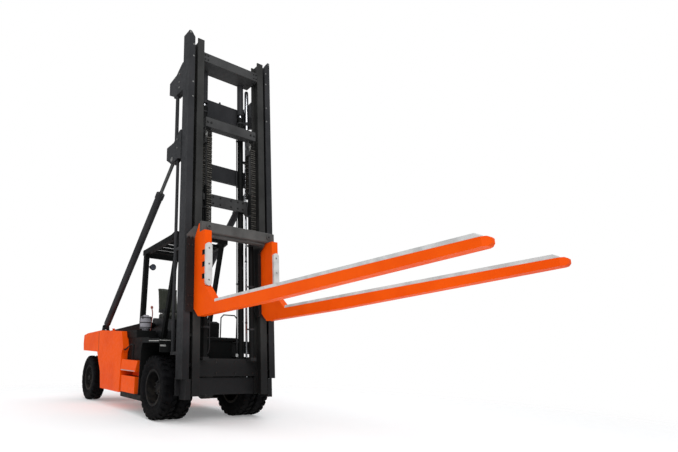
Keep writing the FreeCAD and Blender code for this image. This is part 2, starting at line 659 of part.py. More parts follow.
def inner_bars():
    """Cross bars of the inner mast: top bar over the lift rods, stepped middle bar, base bar."""
    y = INNER_OUT - INNER_FLANGE
    u = TOP_BAR_U
    top = box(-150, 240, -y, y, u, u + 190)
    top = top.cut(box(-160, 60, -y + 180, y - 180, u + 80, u + 200))
    cap = box(-150, 60, y - 180, y, u + 189, u + 245)
    top = fuse(top, cap, mirror(cap))
    m = MIDDLE_BAR_U
    middle = prism_x([(-y, m), (-y + 160, m), (-y + 210, m + 60), (y - 210, m + 60), (y - 160, m), (y, m),
                      (y, m + MIDDLE_BAR_H), (-y, m + MIDDLE_BAR_H)], -20, 30)
    base = box(-10, 50, -y, y, 370, 680)
    seats = box(49, 210, RAM_Y - 60, RAM_Y + 60, 640, 700)
    out = RAM_Y + CHAIN_W / 2
    arm = box(29, RAM_V, out + 8, out + 30, m + 90, m + 210)
    hold = box(RAM_V - RAM_D / 2 - 16, RAM_V + 20, RAM_Y + 20, out + 30, m + 90, m + 210)
    clamp = fuse(arm, hold).cut(tube_z(RAM_D / 2 + GAP, m, m + 300, RAM_V, RAM_Y))
    middle = fuse(middle, clamp, mirror(clamp))
    return Part.makeCompound([top, middle, fuse(base, seats, mirror(seats))])


def lift_rods():
    """Rods of the main lift cylinders, pushing up under the top bar."""
    return both(tube_z(LIFT_ROD_D / 2, 500, TOP_BAR_U, LIFT_V, LIFT_Y))


def ram_barrels():
    """Free-lift cylinders on the base bar."""
    barrel = tube_z(RAM_D / 2, 700 + GAP, RAM_HEAD_U, RAM_V, RAM_Y)
    head = tube_z(RAM_D / 2 + 8, RAM_HEAD_U - 80, RAM_HEAD_U, RAM_V, RAM_Y)
    bore = tube_z(RAM_ROD_D / 2 + GAP, 860, RAM_HEAD_U + 10, RAM_V, RAM_Y)
    return both(fuse(barrel, head).cut(bore))


# ---- crosshead -----------------------------------------------------------------------------------
def crosshead():
    """Bar joining the two free-lift rods, with a yoke and a sheave pin on each rod."""
    bar = box(80, 240, -575, 575, CROSSHEAD_U, CROSSHEAD_U + 190)
    pieces = [bar]
    for s in (-1, 1):
        y = s * RAM_Y
        pieces.append(tube_z(RAM_ROD_D / 2, 1800, 4740, RAM_V, y))
        half = CHAIN_W / 2 + 18
        pieces.append(box(RAM_V - 50, RAM_V + 50, y - half, y + half, 4700, SHEAVE_U - SHEAVE_R - 14))
        for a, b in ((-half, -half + 12), (half - 12, half)):
            pieces.append(box(RAM_V - 50, RAM_V + 50, y + a, y + b, 4700, CROSSHEAD_U + 1))
        pieces.append(tube_y(SHEAVE_PIN_R, y - half - 4, y + half + 4, RAM_V, SHEAVE_U))
    return fuse(*pieces)


def chains():
    """Sheave with the chain over it and the two falls, one set a side."""
    y0 = RAM_Y - CHAIN_W / 2
    y1 = RAM_Y + CHAIN_W / 2
    r1 = SHEAVE_R + CHAIN_T
    sheave = tube_y(SHEAVE_R, y0, y1, RAM_V, SHEAVE_U)
    half = box(-200, 500, 0, 2000, SHEAVE_U, SHEAVE_U + 300)
    over = tube_y(r1, y0, y1, RAM_V, SHEAVE_U, SHEAVE_R).common(half)
    front = box(RAM_V + SHEAVE_R, RAM_V + r1, y0, y1, 2960, SHEAVE_U + 1)
    rear = box(RAM_V - r1, RAM_V - SHEAVE_R, y0, y1, 3800, SHEAVE_U + 1)
    out = fuse(sheave, over, front, rear)
    return both(out.cut(tube_y(SHEAVE_PIN_R + GAP, y0 - 1, y1 + 1, RAM_V, SHEAVE_U)))


# ---- carriage and forks ----------------------------------------------------------------------------
def carriage():
    """Top bar across both shanks, side plates in front of the rails, roller brackets and rollers."""
    y = CARRIAGE_IN_Y
    b0 = CARRIAGE_TOP - CARRIAGE_BAR_H
    end = FORK_Y + FORK_W / 2
    bar = prism_y([(CARRIAGE_BAR_BACK, b0), (CARRIAGE_BAR_FRONT - 15, b0), (CARRIAGE_BAR_FRONT, b0 + 15),
                   (CARRIAGE_BAR_FRONT, CARRIAGE_TOP - 15), (CARRIAGE_BAR_FRONT - 15, CARRIAGE_TOP),
                   (CARRIAGE_BAR_BACK, CARRIAGE_TOP)], -end, end)
    web = box(330, CARRIAGE_BAR_BACK + 1, -y - 30, y + 30, b0 - 40, CARRIAGE_TOP - 15)
    plate = prism_x([(y + 28, CARRIAGE_LOW), (930, CARRIAGE_LOW), (950, 1500), (950, 2800), (800, 2980),
                     (y + 28, 2980)], CARRIAGE_BACK, CARRIAGE_FRONT)
    bracket = prism_y([(100, 1560), (100, 2920), (180, 3000), (440, 3000), (440, b0 - 40),
                       (CARRIAGE_FRONT, 2650), (CARRIAGE_FRONT, CARRIAGE_LOW), (180, CARRIAGE_LOW)],
                      y, y + 30)
    v = INNER_BACK + INNER_DEPTH / 2
    pieces = [plate, bracket]
    for u in (CARRIAGE_LOW + 350, b0 + 50):
        pieces.append(tube_y(30, y, y + 56, v, u))
        pieces.append(tube_y(87, y + 54, y + 104, v, u))
    for u in (1600, 2500):
        pieces.append(box(225, 245, y + 29, INNER_OUT - INNER_FLANGE - GAP, u, u + 160))
    pieces.append(box(274, 331, RAM_Y - CHAIN_W / 2, RAM_Y + CHAIN_W / 2, b0 + 20, CARRIAGE_TOP - 30))
    pieces.append(Part.makeCylinder(44, 26, Vector(CARRIAGE_BAR_FRONT - 1, 650, b0 + 100), Vector(1, 0, 0)))
    left = fuse(*pieces)
    return fuse(bar, web, left, mirror(left))


def fork():
    """Left boat fork: shank notched for the bar, chamfered heel with a gusset, and a tapering blade."""
    x0 = CARRIAGE_FRONT + GAP
    x1 = x0 + FORK_SHANK
    z0 = FORK_BOTTOM
    top = z0 + FORK_DEPTH
    tip = FORK_TIP
    notch = CARRIAGE_BAR_BACK - GAP
    shoulder = CARRIAGE_TOP - CARRIAGE_BAR_H - GAP
    pts = [(x0, z0 + 140), (x0 + 150, z0), (2200, z0 + 10), (tip - 30, z0 + 90), (tip, z0 + 112),
           (tip, top - 24), (tip - 30, top), (x1 + HEEL_RUN + 30, top), (x1 + HEEL_RUN, top + 30),
           (x1 + 20, top + HEEL_RISE), (x1, top + HEEL_RISE), (x1, shoulder), (notch, shoulder),
           (notch, FORK_TOP), (notch - 20, FORK_TOP), (x0, FORK_TOP - 230)]
    inside = FORK_Y - FORK_W / 2
    outside = FORK_Y + FORK_W / 2
    body = prism_y(pts, inside, outside)
    nose = prism_z([(0, inside), (tip - 70, inside), (tip, FORK_Y - 24), (tip, FORK_Y + 24),
                    (tip - 70, outside), (0, outside)], 1000, 3200)
    body = body.common(nose)
    step = (PAD_HIGH - PAD_LOW) / 3.6
    for k in range(3):
        u = (PAD_HIGH + PAD_LOW) / 2 + (k - 1) * step
        slot = box(x1 - SLOT_DEPTH, x1 + 1, outside - 40, outside + 1, u - SLOT_H / 2, u + SLOT_H / 2)
        body = body.cut(slot)
    return body


def fork_pads():
    """Pale wear strip on top of each blade and the bumper on each shank's front face."""
    x1 = CARRIAGE_FRONT + GAP + FORK_SHANK + GAP
    top = FORK_BOTTOM + FORK_DEPTH + GAP
    half = FORK_W / 2 - 4
    start = x1 + HEEL_RUN
    strip = prism_y([(start + 32, top), (start + 42, top + PAD_T), (FORK_TIP - 130, top + PAD_T),
                     (FORK_TIP - 80, top)], FORK_Y - half, FORK_Y + half)
    r = PAD_W / 2
    pad = box(x1, x1 + PAD_T, FORK_Y - r, FORK_Y + r, PAD_LOW + r, PAD_HIGH - r)
    for u in (PAD_LOW + r, PAD_HIGH - r):
        pad = pad.fuse(Part.makeCylinder(r, PAD_T, Vector(x1, FORK_Y, u), Vector(1, 0, 0)))
    left = Part.makeCompound([strip, pad.removeSplitter()])
    return both(left)


# ---- tilt cylinders ----------------------------------------------------------------------------------
EYE = mast_point(TILT_EYE_V, 0, TILT_EYE_U)
FOOT = Vector(TILT_FOOT_X, 0, TILT_FOOT_Z)
TILT_LEN = (EYE - FOOT).Length
TILT_HEAD = TILT_LEN - TILT_SHOWN_ROD


def along_tilt(s):
    p = FOOT + (EYE - FOOT) * (s / TILT_LEN)
    return (p.x, TILT_Y, p.z)


def tilt_barrel():
    """Barrel with its foot eye and gland head, bored for the rod."""
    r = TILT_BORE_D / 2
    body = rod(along_tilt(110), along_tilt(TILT_HEAD - 60), r)
    neck = rod(along_tilt(20), along_tilt(120), 34)
    head = rod(along_tilt(TILT_HEAD - 110), along_tilt(TILT_HEAD), r + 12)
    eye = tube_y(60, TILT_Y - 38, TILT_Y + 38, TILT_FOOT_X, TILT_FOOT_Z)
    out = fuse(body, neck, head, eye)
    out = out.cut(tube_y(TILT_PIN_R + GAP, TILT_Y - 40, TILT_Y + 40, TILT_FOOT_X, TILT_FOOT_Z))
    return both(out.cut(rod(along_tilt(TILT_HEAD - 1600), along_tilt(TILT_HEAD + 10), TILT_ROD_D / 2 + GAP)))


def tilt_rod():
    """Rod with the large eye that sits round the mast's clevis pin."""
    body = rod(along_tilt(TILT_HEAD - 800), along_tilt(TILT_LEN - 60), TILT_ROD_D / 2)
    eye = tube_y(TILT_EYE_BORE + 32, TILT_Y - 24, TILT_Y + 24, EYE.x, EYE.z, TILT_EYE_BORE)
    hole = tube_y(TILT_EYE_BORE, TILT_Y - 60, TILT_Y + 60, EYE.x, EYE.z)
    return both(fuse(body.cut(hole), eye))


# ---- build --------------------------------------------------------------------------------------------
def add(name, shape):
    parts[name] = shape


def sided(name, shape):
    add(name + "_left", shape)
    add(name + "_right", mirror(shape))


add("frame", frame())
add("counterweight", counterweight())
add("tilt_feet", both(tilt_foot()))
add("radiator_grille", radiator_grille())
add("hood", hood())
add("engine_block", engine())
add("drive_axle", drive_axle())
add("steer_axle", steer_axle())
add("fenders", both(fender()))
add("deck", deck())
add("steps", both(steps()))
add("side_lockers", both(side_locker()))
add("console", console())
add("seat_base", seat_base())
add("seat_cushion", seat_cushion())
add("seat_back", seat_back())
add("steering_wheel", steering_wheel())
add("overhead_guard", overhead_guard())
add("air_cleaner", air_cleaner())
add("handrails", handrails())
sided("front_tyres", front_tyres())
sided("front_rims", front_rims())
sided("rear_tyre", rear_tyre())
sided("rear_rim", rear_rim())
sided("rear_knuckle", rear_knuckle())
add("outer_rails", at_mast(both(outer_rail())))
add("outer_ties", at_mast(outer_ties()))
add("lift_barrels", at_mast(lift_barrels()))
add("mast_pipes", at_mast(mast_pipes()))
add("inner_rails", at_mast(both(inner_rail())))
add("inner_bars", at_mast(inner_bars()))
add("lift_rods", at_mast(lift_rods()))
add("ram_barrels", at_mast(ram_barrels()))
add("crosshead", at_mast(crosshead()))
add("chains", at_mast(chains()))
add("carriage", at_mast(carriage()))
sided("fork", at_mast(fork()))
add("fork_pads", at_mast(fork_pads()))
add("tilt_barrels", tilt_barrel())
add("tilt_rods", tilt_rod())

low = min(s.BoundBox.XMin for s in parts.values())
high = max(s.BoundBox.XMax for s in parts.values())
os.makedirs("parts", exist_ok=True)
for name, shape in parts.items():
    shape.translate(Vector(-(low + high) / 2, 0, 0))
    shape.exportStep("parts/%s.step" % name)
print("nodes", len(parts), "middle x", round((low + high) / 2, 2))
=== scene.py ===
import bmesh
import bpy
import math
from mathutils import Matrix, Vector


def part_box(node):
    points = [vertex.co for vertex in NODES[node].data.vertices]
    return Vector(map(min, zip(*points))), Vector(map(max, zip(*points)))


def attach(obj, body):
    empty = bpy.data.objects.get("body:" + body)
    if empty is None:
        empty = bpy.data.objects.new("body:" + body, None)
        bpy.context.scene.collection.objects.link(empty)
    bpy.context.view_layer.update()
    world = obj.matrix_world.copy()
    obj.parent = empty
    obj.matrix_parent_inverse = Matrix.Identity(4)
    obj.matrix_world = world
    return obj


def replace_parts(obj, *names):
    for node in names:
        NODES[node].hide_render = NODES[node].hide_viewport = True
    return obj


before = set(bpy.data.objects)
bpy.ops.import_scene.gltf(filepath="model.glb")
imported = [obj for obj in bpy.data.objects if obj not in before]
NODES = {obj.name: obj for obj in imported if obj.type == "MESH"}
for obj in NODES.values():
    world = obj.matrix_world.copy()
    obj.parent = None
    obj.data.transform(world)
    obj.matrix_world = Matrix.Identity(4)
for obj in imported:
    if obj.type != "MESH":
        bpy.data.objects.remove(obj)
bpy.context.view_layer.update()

# ---- places, metres -----------------------------------------------------------------------------
AXLE_LOW, AXLE_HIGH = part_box("drive_axle")
X0 = (AXLE_LOW[0] + AXLE_HIGH[0]) / 2          # the drive axle, x = 0 of the truck frame
TILT = math.radians(3.435)                     # the mast leans back by this at rest
TS, TC = math.sin(TILT), math.cos(TILT)
MAST_X, MAST_Z = 0.68, 0.411                   # foot of the mast's own frame, in the truck frame
V_AXIS = Vector((TC, 0, TS))
U_AXIS = Vector((-TS, 0, TC))
Y_AXIS = Vector((0, 1, 0))
Z_AXIS = Vector((0, 0, 1))
X_AXIS = Vector((1, 0, 0))
SIDES = (-1, 1)                                # right, left

DRIVE_R, DRIVE_W, DRIVE_BORE = 0.56, 0.27, 0.2955
STEER_R, STEER_W, STEER_BORE = 0.515, 0.29, 0.2705
STEER_X = -3.85
LIFT_V, LIFT_Y = -0.10, 0.43                   # main lift cylinders, in the mast frame
RAM_V, RAM_Y = 0.15, 0.50                      # free-lift cylinders
SHEAVE_U = 4.88                                # chain sheaves above the free-lift rods
PITCH = 0.044                                  # of the leaf chain
STRANDS = range(-5, 6)
PIPE_Y, SLEEVE_Y = 0.555, 0.590                # return pipe, and the wide sleeve over it
FORK_Y, PAD_Y = 0.72, 0.77                     # middle of a fork, middle of its shank's pockets
POCKET_V = 0.5828
HOOD_Z, HOOD_BACK, HOOD_SLOPE = 1.64, -4.2, 0.0675
CLEANER_X, CLEANER_Y = -1.375, -0.70
VOXEL, PRESSURE, PUFF_CAP = 0.006, 4.0, 0.026  # cloth recipe of the seat


def truck(x, y, z):
    """Row-frame place of a point given from the drive axle on the ground."""
    return Vector((X0 + x, y, z))


def mast(v, y, u):
    """Row-frame place of a point given forward of, across and up along the mast."""
    return truck(MAST_X, 0, MAST_Z) + V_AXIS * v + Y_AXIS * y + U_AXIS * u


# ---- camera -------------------------------------------------------------------------------------
def make_camera():
    yaw, pitch, roll = math.radians(145.44), math.radians(10.47), math.radians(1.525)
    look = Vector((math.cos(pitch) * math.cos(yaw), math.cos(pitch) * math.sin(yaw), math.sin(pitch)))
    right = Vector((math.sin(yaw), -math.cos(yaw), 0))
    up = right.cross(look)
    r = right * math.cos(roll) + up * math.sin(roll)
    u = up * math.cos(roll) - right * math.sin(roll)
    m = Matrix((r, u, -look)).transposed().to_4x4()
    m.translation = truck(8.356, -4.790, 1.248)
    data = bpy.data.cameras.new("camera")
    data.sensor_width = 36
    data.sensor_fit = "HORIZONTAL"
    data.lens = 26.15
    data.shift_x = 0.130
    data.shift_y = 0.0494
    data.clip_end = 300
    cam = bpy.data.objects.new("camera", data)
    bpy.context.scene.collection.objects.link(cam)
    cam.matrix_world = m
    bpy.context.scene.camera = cam


# ---- materials ----------------------------------------------------------------------------------
class Nodes:
    """Short hand for building one node material."""

    def __init__(self, name):
        self.mat = bpy.data.materials.new(name)
        self.mat.use_nodes = True
        self.tree = self.mat.node_tree
        self.bsdf = self.tree.nodes["Principled BSDF"]
        self.coord = self.tree.nodes.new("ShaderNodeTexCoord").outputs["Object"]

    def node(self, kind, **inputs):
        n = self.tree.nodes.new(kind)
        for key, value in inputs.items():
            self.put(n.inputs[key.replace("_", " ")], value)
        return n

    def put(self, socket, value):
        if isinstance(value, bpy.types.NodeSocket):
            self.tree.links.new(value, socket)
        else:
            socket.default_value = value

    def noise(self, scale, detail=4.0, rough=0.55, stretch=None):
        vec = self.coord
        if stretch:
            m = self.node("ShaderNodeMapping", Vector=vec)
            m.inputs["Scale"].default_value = stretch
            vec = m.outputs["Vector"]
        n = self.node("ShaderNodeTexNoise", Vector=vec, Scale=scale, Detail=detail, Roughness=rough)
        return n.outputs["Fac"]

    def ramp(self, fac, low, high, a=0.0, b=1.0):
        n = self.node("ShaderNodeMapRange", Value=fac)
        n.clamp = True
        n.interpolation_type = "SMOOTHSTEP"
        n.inputs["From Min"].default_value = low
        n.inputs["From Max"].default_value = high
        n.inputs["To Min"].default_value = a
        n.inputs["To Max"].default_value = b
        return n.outputs["Result"]

    def mix(self, fac, a, b):
        n = self.tree.nodes.new("ShaderNodeMix")
        n.data_type = "RGBA"
        self.put(n.inputs["Factor"], fac)
        self.put(n.inputs[6], a)
        self.put(n.inputs[7], b)
        return n.outputs[2]

    def math(self, op, a, b=0.0):
        n = self.tree.nodes.new("ShaderNodeMath")
        n.operation = op
        self.put(n.inputs[0], a)
        self.put(n.inputs[1], b)
        return n.outputs[0]

    def split(self, vector):
        return self.node("ShaderNodeSeparateXYZ", Vector=vector).outputs

    def bump(self, height, strength, distance, under=None):
        n = self.node("ShaderNodeBump", Height=height)
        n.inputs["Strength"].default_value = strength
        n.inputs["Distance"].default_value = distance
        if under:
            self.put(n.inputs["Normal"], under)
        return n.outputs["Normal"]

    def edges(self, radius=0.006):
        """1 at worn convex edges, 0 on the flats."""
        bevel = self.tree.nodes.new("ShaderNodeBevel")
        bevel.samples = 4
        bevel.inputs["Radius"].default_value = radius
        geo = self.tree.nodes.new("ShaderNodeNewGeometry").outputs["Normal"]
        dot = self.tree.nodes.new("ShaderNodeVectorMath")
        dot.operation = "DOT_PRODUCT"
        self.put(dot.inputs[0], bevel.outputs["Normal"])
        self.put(dot.inputs[1], geo)
        return self.ramp(dot.outputs["Value"], 0.97, 0.75)

    def end(self, color, rough, metal=0.0, normal=None, **constants):
        b = self.bsdf
        self.put(b.inputs["Base Color"], color)
        self.put(b.inputs["Roughness"], rough)
        b.inputs["Metallic"].default_value = metal
        if normal:
            self.put(b.inputs["Normal"], normal)
        for key, value in constants.items():
            b.inputs[key.replace("_", " ")].default_value = value
        return self.mat


def rgb(r, g, b):
    """Linear colour from 0-255 display values."""
    def lin(c):
        c /= 255.0
        return c / 12.92 if c <= 0.04045 else ((c + 0.055) / 1.055) ** 2.4
    return (lin(r), lin(g), lin(b), 1.0)


def painted(name, base, dark, bare, rough, wear, dust, shade_amount=0.0, shine=0.16,
            shade_top=1.7, shade_low=0.9):
    """Sprayed steel: tone drift, dust low down, orange peel, worn edges and scratches.

    The eighth argument is painted shade: how far the paint goes to near black between the two heights
    given last.
    """
    n = Nodes(name)
    drift = n.ramp(n.noise(1.3, 5, 0.6), 0.35, 0.7)
    color = n.mix(drift, base, dark)
    streak = n.ramp(n.noise(7.0, 6, 0.65, (1.0, 1.0, 0.08)), 0.52, 0.78, 0.0, 0.35)
    color = n.mix(streak, color, dark)
    z = n.split(n.coord)[2]
    low = n.math("MULTIPLY", n.ramp(z, 1.1, 0.1), n.ramp(n.noise(9.0, 8, 0.7), 0.38, 0.72))
    color = n.mix(n.math("MULTIPLY", low, dust), color, rgb(92, 84, 74))
    # Painted shade: the colour goes towards near black lower down.
    color = n.mix(n.math("MULTIPLY", n.ramp(z, shade_top, shade_low), shade_amount), color, rgb(13, 13, 14))
    edge = n.math("MULTIPLY", n.edges(), n.ramp(n.noise(38.0, 5, 0.7), 0.42, 0.62))
    scratch = n.ramp(n.noise(60.0, 3, 0.8, (1.0, 0.09, 0.3)), 0.73, 0.78)
    worn = n.math("MULTIPLY", n.math("MAXIMUM", edge, n.math("MULTIPLY", scratch, 0.5)), wear)
    color = n.mix(worn, color, bare)
    r = n.ramp(n.noise(16.0, 4, 0.6), 0.3, 0.75, rough - 0.07, rough + 0.12)
    peel = n.bump(n.noise(420.0, 2, 0.5), 0.06, 0.001)
    wave = n.bump(n.noise(5.0, 2, 0.5), 0.12, 0.004, peel)
    return n.end(color, r, 0.0, wave, Specular_IOR_Level=shine)


def rubber():
    n = Nodes("tyre_rubber")
    color = n.mix(n.ramp(n.noise(4.0, 6, 0.65), 0.35, 0.75), rgb(5, 5, 6), rgb(15, 15, 17))
    z = n.split(n.coord)[2]
    low = n.math("MULTIPLY", n.ramp(z, 0.5, 0.0), n.ramp(n.noise(14.0, 7, 0.7), 0.35, 0.7, 0.0, 0.5))
    color = n.mix(low, color, rgb(30, 28, 26))
    normal = n.bump(n.noise(190.0, 3, 0.6), 0.25, 0.001)
    r = n.ramp(n.noise(25.0, 4, 0.6), 0.3, 0.7, 0.62, 0.86)
    return n.end(color, r, 0.0, normal, Specular_IOR_Level=0.05)


def chrome():
    n = Nodes("chrome_rod")
    streak = n.ramp(n.noise(6.0, 4, 0.6, (1, 1, 0.1)), 0.4, 0.75)
    color = n.mix(streak, rgb(206, 208, 212), rgb(150, 152, 155))
    r = n.ramp(n.noise(50.0, 3, 0.6, (1, 1, 0.05)), 0.35, 0.75, 0.10, 0.24)
    return n.end(color, r, 1.0, n.bump(n.noise(300.0, 2, 0.5, (1, 1, 0.1)), 0.03, 0.0005))


def steel(name, a, b, rough, metal=0.85):
    n = Nodes(name)
    color = n.mix(n.ramp(n.noise(22.0, 6, 0.7), 0.35, 0.7), a, b)
    grime = n.ramp(n.noise(70.0, 4, 0.7), 0.55, 0.75, 0.0, 0.6)
    color = n.mix(grime, color, rgb(46, 42, 38))
    r = n.ramp(n.noise(40.0, 4, 0.6), 0.3, 0.7, rough - 0.08, rough + 0.14)
    return n.end(color, r, metal, n.bump(n.noise(260.0, 3, 0.6), 0.10, 0.0008))


def cast():
    n = Nodes("dark_cast")
    color = n.mix(n.ramp(n.noise(8.0, 6, 0.7), 0.35, 0.7), rgb(24, 24, 25), rgb(38, 36, 34))
    normal = n.bump(n.noise(130.0, 5, 0.7), 0.45, 0.002)
    return n.end(color, n.ramp(n.noise(12.0, 4, 0.6), 0.3, 0.7, 0.55, 0.8), 0.1, normal)


def plastic(name, a, b, rough=0.5, grain=220.0):
    n = Nodes(name)
    color = n.mix(n.ramp(n.noise(5.0, 4, 0.6), 0.35, 0.7), a, b)
    dirt = n.ramp(n.noise(11.0, 7, 0.7), 0.55, 0.8, 0.0, 0.45)
    color = n.mix(dirt, color, grimy(a))
    normal = n.bump(n.noise(grain, 3, 0.6), 0.18, 0.0008)
    return n.end(color, n.ramp(n.noise(30.0, 4, 0.6), 0.3, 0.7, rough - 0.08, rough + 0.12), 0.0, normal)


def grimy(color):
    return (color[0] * 0.45, color[1] * 0.44, color[2] * 0.42, 1.0)


def seat_cloth():
    """Woven seat fabric: crossing threads in object space with a slight sheen."""
    n = Nodes("seat_cloth")
    x, y, z = n.split(n.coord)
    run = n.math("ADD", x, z)
    warp = n.math("SINE", n.math("MULTIPLY", y, 2300.0))
    weft = n.math("SINE", n.math("MULTIPLY", run, 2300.0))
    weave = n.math("MULTIPLY", warp, weft)
    color = n.mix(n.ramp(weave, -0.6, 0.6), rgb(38, 42, 34), rgb(60, 64, 52))
    color = n.mix(n.ramp(n.noise(9.0, 6, 0.65), 0.45, 0.75, 0.0, 0.5), color, rgb(74, 76, 64))
    normal = n.bump(weave, 0.35, 0.0006)
    normal = n.bump(n.noise(26.0, 4, 0.6), 0.2, 0.004, normal)
    return n.end(color, 0.92, 0.0, normal, Sheen_Weight=0.25, Sheen_Roughness=0.5)


def lens_glass():
    n = Nodes("lamp_lens")
    ring = n.noise(90.0, 2, 0.5)
    return n.end(rgb(58, 62, 74), n.ramp(ring, 0.3, 0.7, 0.08, 0.2), 0.0, n.bump(ring, 0.3, 0.001),
                 Coat_Weight=0.3, Specular_IOR_Level=0.4)


ORANGE = painted("orange_paint", rgb(242, 88, 6), rgb(232, 78, 4), rgb(120, 70, 44),
                 0.46, 0.5, 0.12, shine=0.07)
BLACK = painted("black_paint", rgb(19, 20, 20), rgb(12, 13, 13), rgb(62, 60, 57),
                0.55, 0.45, 0.2, shine=0.09)
# The eighth number of BLACK_MAST, BAR, GREASE and SILVER is painted shade: near black low down.
BLACK_MAST = painted("black_mast", rgb(50, 50, 52), rgb(36, 37, 39), rgb(90, 87, 82),
                     0.52, 0.7, 0.1, 0.75)
BAR = painted("bar_paint", rgb(68, 68, 68), rgb(50, 50, 50), rgb(94, 92, 88), 0.5, 0.6, 0.1, 0.9)
# The carriage's eighth number is painted shade: near black below its top bar.
CARRIAGE = painted("carriage_paint", rgb(92, 91, 89), rgb(66, 65, 64), rgb(120, 117, 110),
                   0.5, 0.6, 0.0, 0.92, shade_top=3.22, shade_low=3.15)
GREASE = painted("greased_rail", rgb(54, 54, 53), rgb(39, 39, 38), rgb(96, 94, 90),
                 0.45, 0.8, 0.1, 0.8)
RIM = painted("rim_paint", rgb(20, 20, 21), rgb(13, 13, 14), rgb(60, 56, 51),
              0.6, 0.6, 0.3, shine=0.08)
SILVER = painted("silver_paint", rgb(150, 148, 154), rgb(128, 127, 133), rgb(90, 88, 84),
                 0.4, 0.4, 0.3, 0.1)
RUBBER = rubber()
CHROME = chrome()
CHAIN = steel("chain_steel", rgb(62, 61, 59), rgb(38, 37, 36), 0.42)
BOLT = steel("bolt_steel", rgb(150, 150, 148), rgb(104, 102, 98), 0.35)
PIN_STEEL = steel("pin_steel", rgb(116, 113, 106), rgb(84, 81, 76), 0.4)
DARK_BOLT = steel("dark_bolt", rgb(62, 62, 62), rgb(40, 39, 38), 0.45)
OILED = steel("oiled_rod", rgb(84, 86, 85), rgb(62, 63, 62), 0.4, 0.6)
PALE_STRIP = steel("wear_strip", rgb(184, 184, 180), rgb(150, 150, 148), 0.38, 0.35)
PALE_PAD = plastic("pale_pad", rgb(206, 206, 204), rgb(180, 180, 178), 0.5)
PLASTIC = plastic("dark_plastic", rgb(24, 25, 27), rgb(34, 35, 37), 0.5)
RED_KNOB = plastic("red_knob", rgb(150, 70, 56), rgb(126, 60, 50), 0.4)
CAST = cast()
CLOTH = seat_cloth()
LENS = lens_glass()

LOOKS = {
    ORANGE: "counterweight steps fork_left fork_right",
    BLACK: "frame radiator_grille hood fenders deck seat_base overhead_guard handrails tilt_feet "
           "side_lockers lift_barrels ram_barrels",
    BLACK_MAST: "outer_rails outer_ties mast_pipes tilt_barrels",
    BAR: "inner_bars crosshead",
    CARRIAGE: "carriage",
    GREASE: "inner_rails",
    CAST: "engine_block drive_axle steer_axle rear_knuckle_left rear_knuckle_right",
    RIM: "front_rims_left front_rims_right rear_rim_left rear_rim_right",
    RUBBER: "front_tyres_left front_tyres_right rear_tyre_left rear_tyre_right",
    CHROME: "lift_rods",
    OILED: "tilt_rods",
    SILVER: "air_cleaner",
    CHAIN: "chains",
    PALE_PAD: "fork_pads",
    PLASTIC: "console steering_wheel",
    CLOTH: "seat_cushion seat_back",
}


def dress_cad():
    for mat, names in LOOKS.items():
        for name in names.split():
            obj = NODES[name]
            for slot in obj.material_slots:
                slot.material = mat


# ---- mesh helpers -------------------------------------------------------------------------------
def piece(name, bm, mat, body, smooth=True, bevel=0.0, segments=2, angle=35):
    """A finished mesh object riding on a body."""
    bmesh.ops.recalc_face_normals(bm, faces=bm.faces)
    me = bpy.data.meshes.new(name)
    bm.to_mesh(me)
    bm.free()
    me.materials.append(mat)
    obj = bpy.data.objects.new(name, me)
    bpy.context.scene.collection.objects.link(obj)
    if bevel:
        m = obj.modifiers.new("bevel", "BEVEL")
        m.width = bevel
        m.segments = segments
        m.limit_method = "ANGLE"
        m.angle_limit = math.radians(angle)
    if smooth:
        me.shade_smooth()
        w = obj.modifiers.new("normals", "WEIGHTED_NORMAL")
        w.keep_sharp = True
        me.set_sharp_from_angle(angle=math.radians(angle))
    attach(obj, body)
    return obj


def basis(axis, hint=Z_AXIS):
    """Right-handed axes whose third is axis."""
    w = axis.normalized()
    if abs(w.dot(hint)) > 0.95:
        hint = X_AXIS
    a = hint.cross(w).normalized()
    return a, w.cross(a), w


def add_lathe(bm, centre, axis, profile, seg=32, hint=Z_AXIS):
    """Revolve (distance along axis, radius) points; ends close where the radius is 0."""
    a, b, w = basis(axis, hint)
    rings = []
    for along, r in profile:
        at = centre + w * along
        if r < 1e-6:
            rings.append([bm.verts.new(at)])
        else:
            rings.append([bm.verts.new(at + (a * math.cos(t) + b * math.sin(t)) * r)
                          for t in (2 * math.pi * k / seg for k in range(seg))])
    for p, q in zip(rings, rings[1:]):
        for k in range(seg):
            j = (k + 1) % seg
            if len(p) == 1 and len(q) == 1:
                continue
            if len(p) == 1:
                bm.faces.new((p[0], q[k], q[j]))
            elif len(q) == 1:
                bm.faces.new((p[k], q[0], p[j]))
            else:
                bm.faces.new((p[k], q[k], q[j], p[j]))


def add_rod(bm, p, q, r, seg=16):
    d = q - p
    add_lathe(bm, p, d, [(0, 0), (0, r), (d.length, r), (d.length, 0)], seg)


def add_upright(bm, v, y, low, high, r, seg):
    """Rod along the mast from one height to another."""
    add_rod(bm, mast(v, y, low), mast(v, y, high), r, seg)


def add_box(bm, centre, ax, ay, az, sx, sy, sz):
    """Block of full sizes sx, sy, sz along three axes."""
    v = []
    for i in (-0.5, 0.5):
        for j in (-0.5, 0.5):
            for k in (-0.5, 0.5):
                v.append(bm.verts.new(centre + ax * (i * sx) + ay * (j * sy) + az * (k * sz)))
    for f in ((0, 1, 3, 2), (4, 6, 7, 5), (0, 4, 5, 1), (2, 3, 7, 6), (0, 2, 6, 4), (1, 5, 7, 3)):
        bm.faces.new([v[i] for i in f])


def add_block(bm, centre, sx, sy, sz):
    """Block square to the truck."""
    add_box(bm, centre, X_AXIS, Y_AXIS, Z_AXIS, sx, sy, sz)


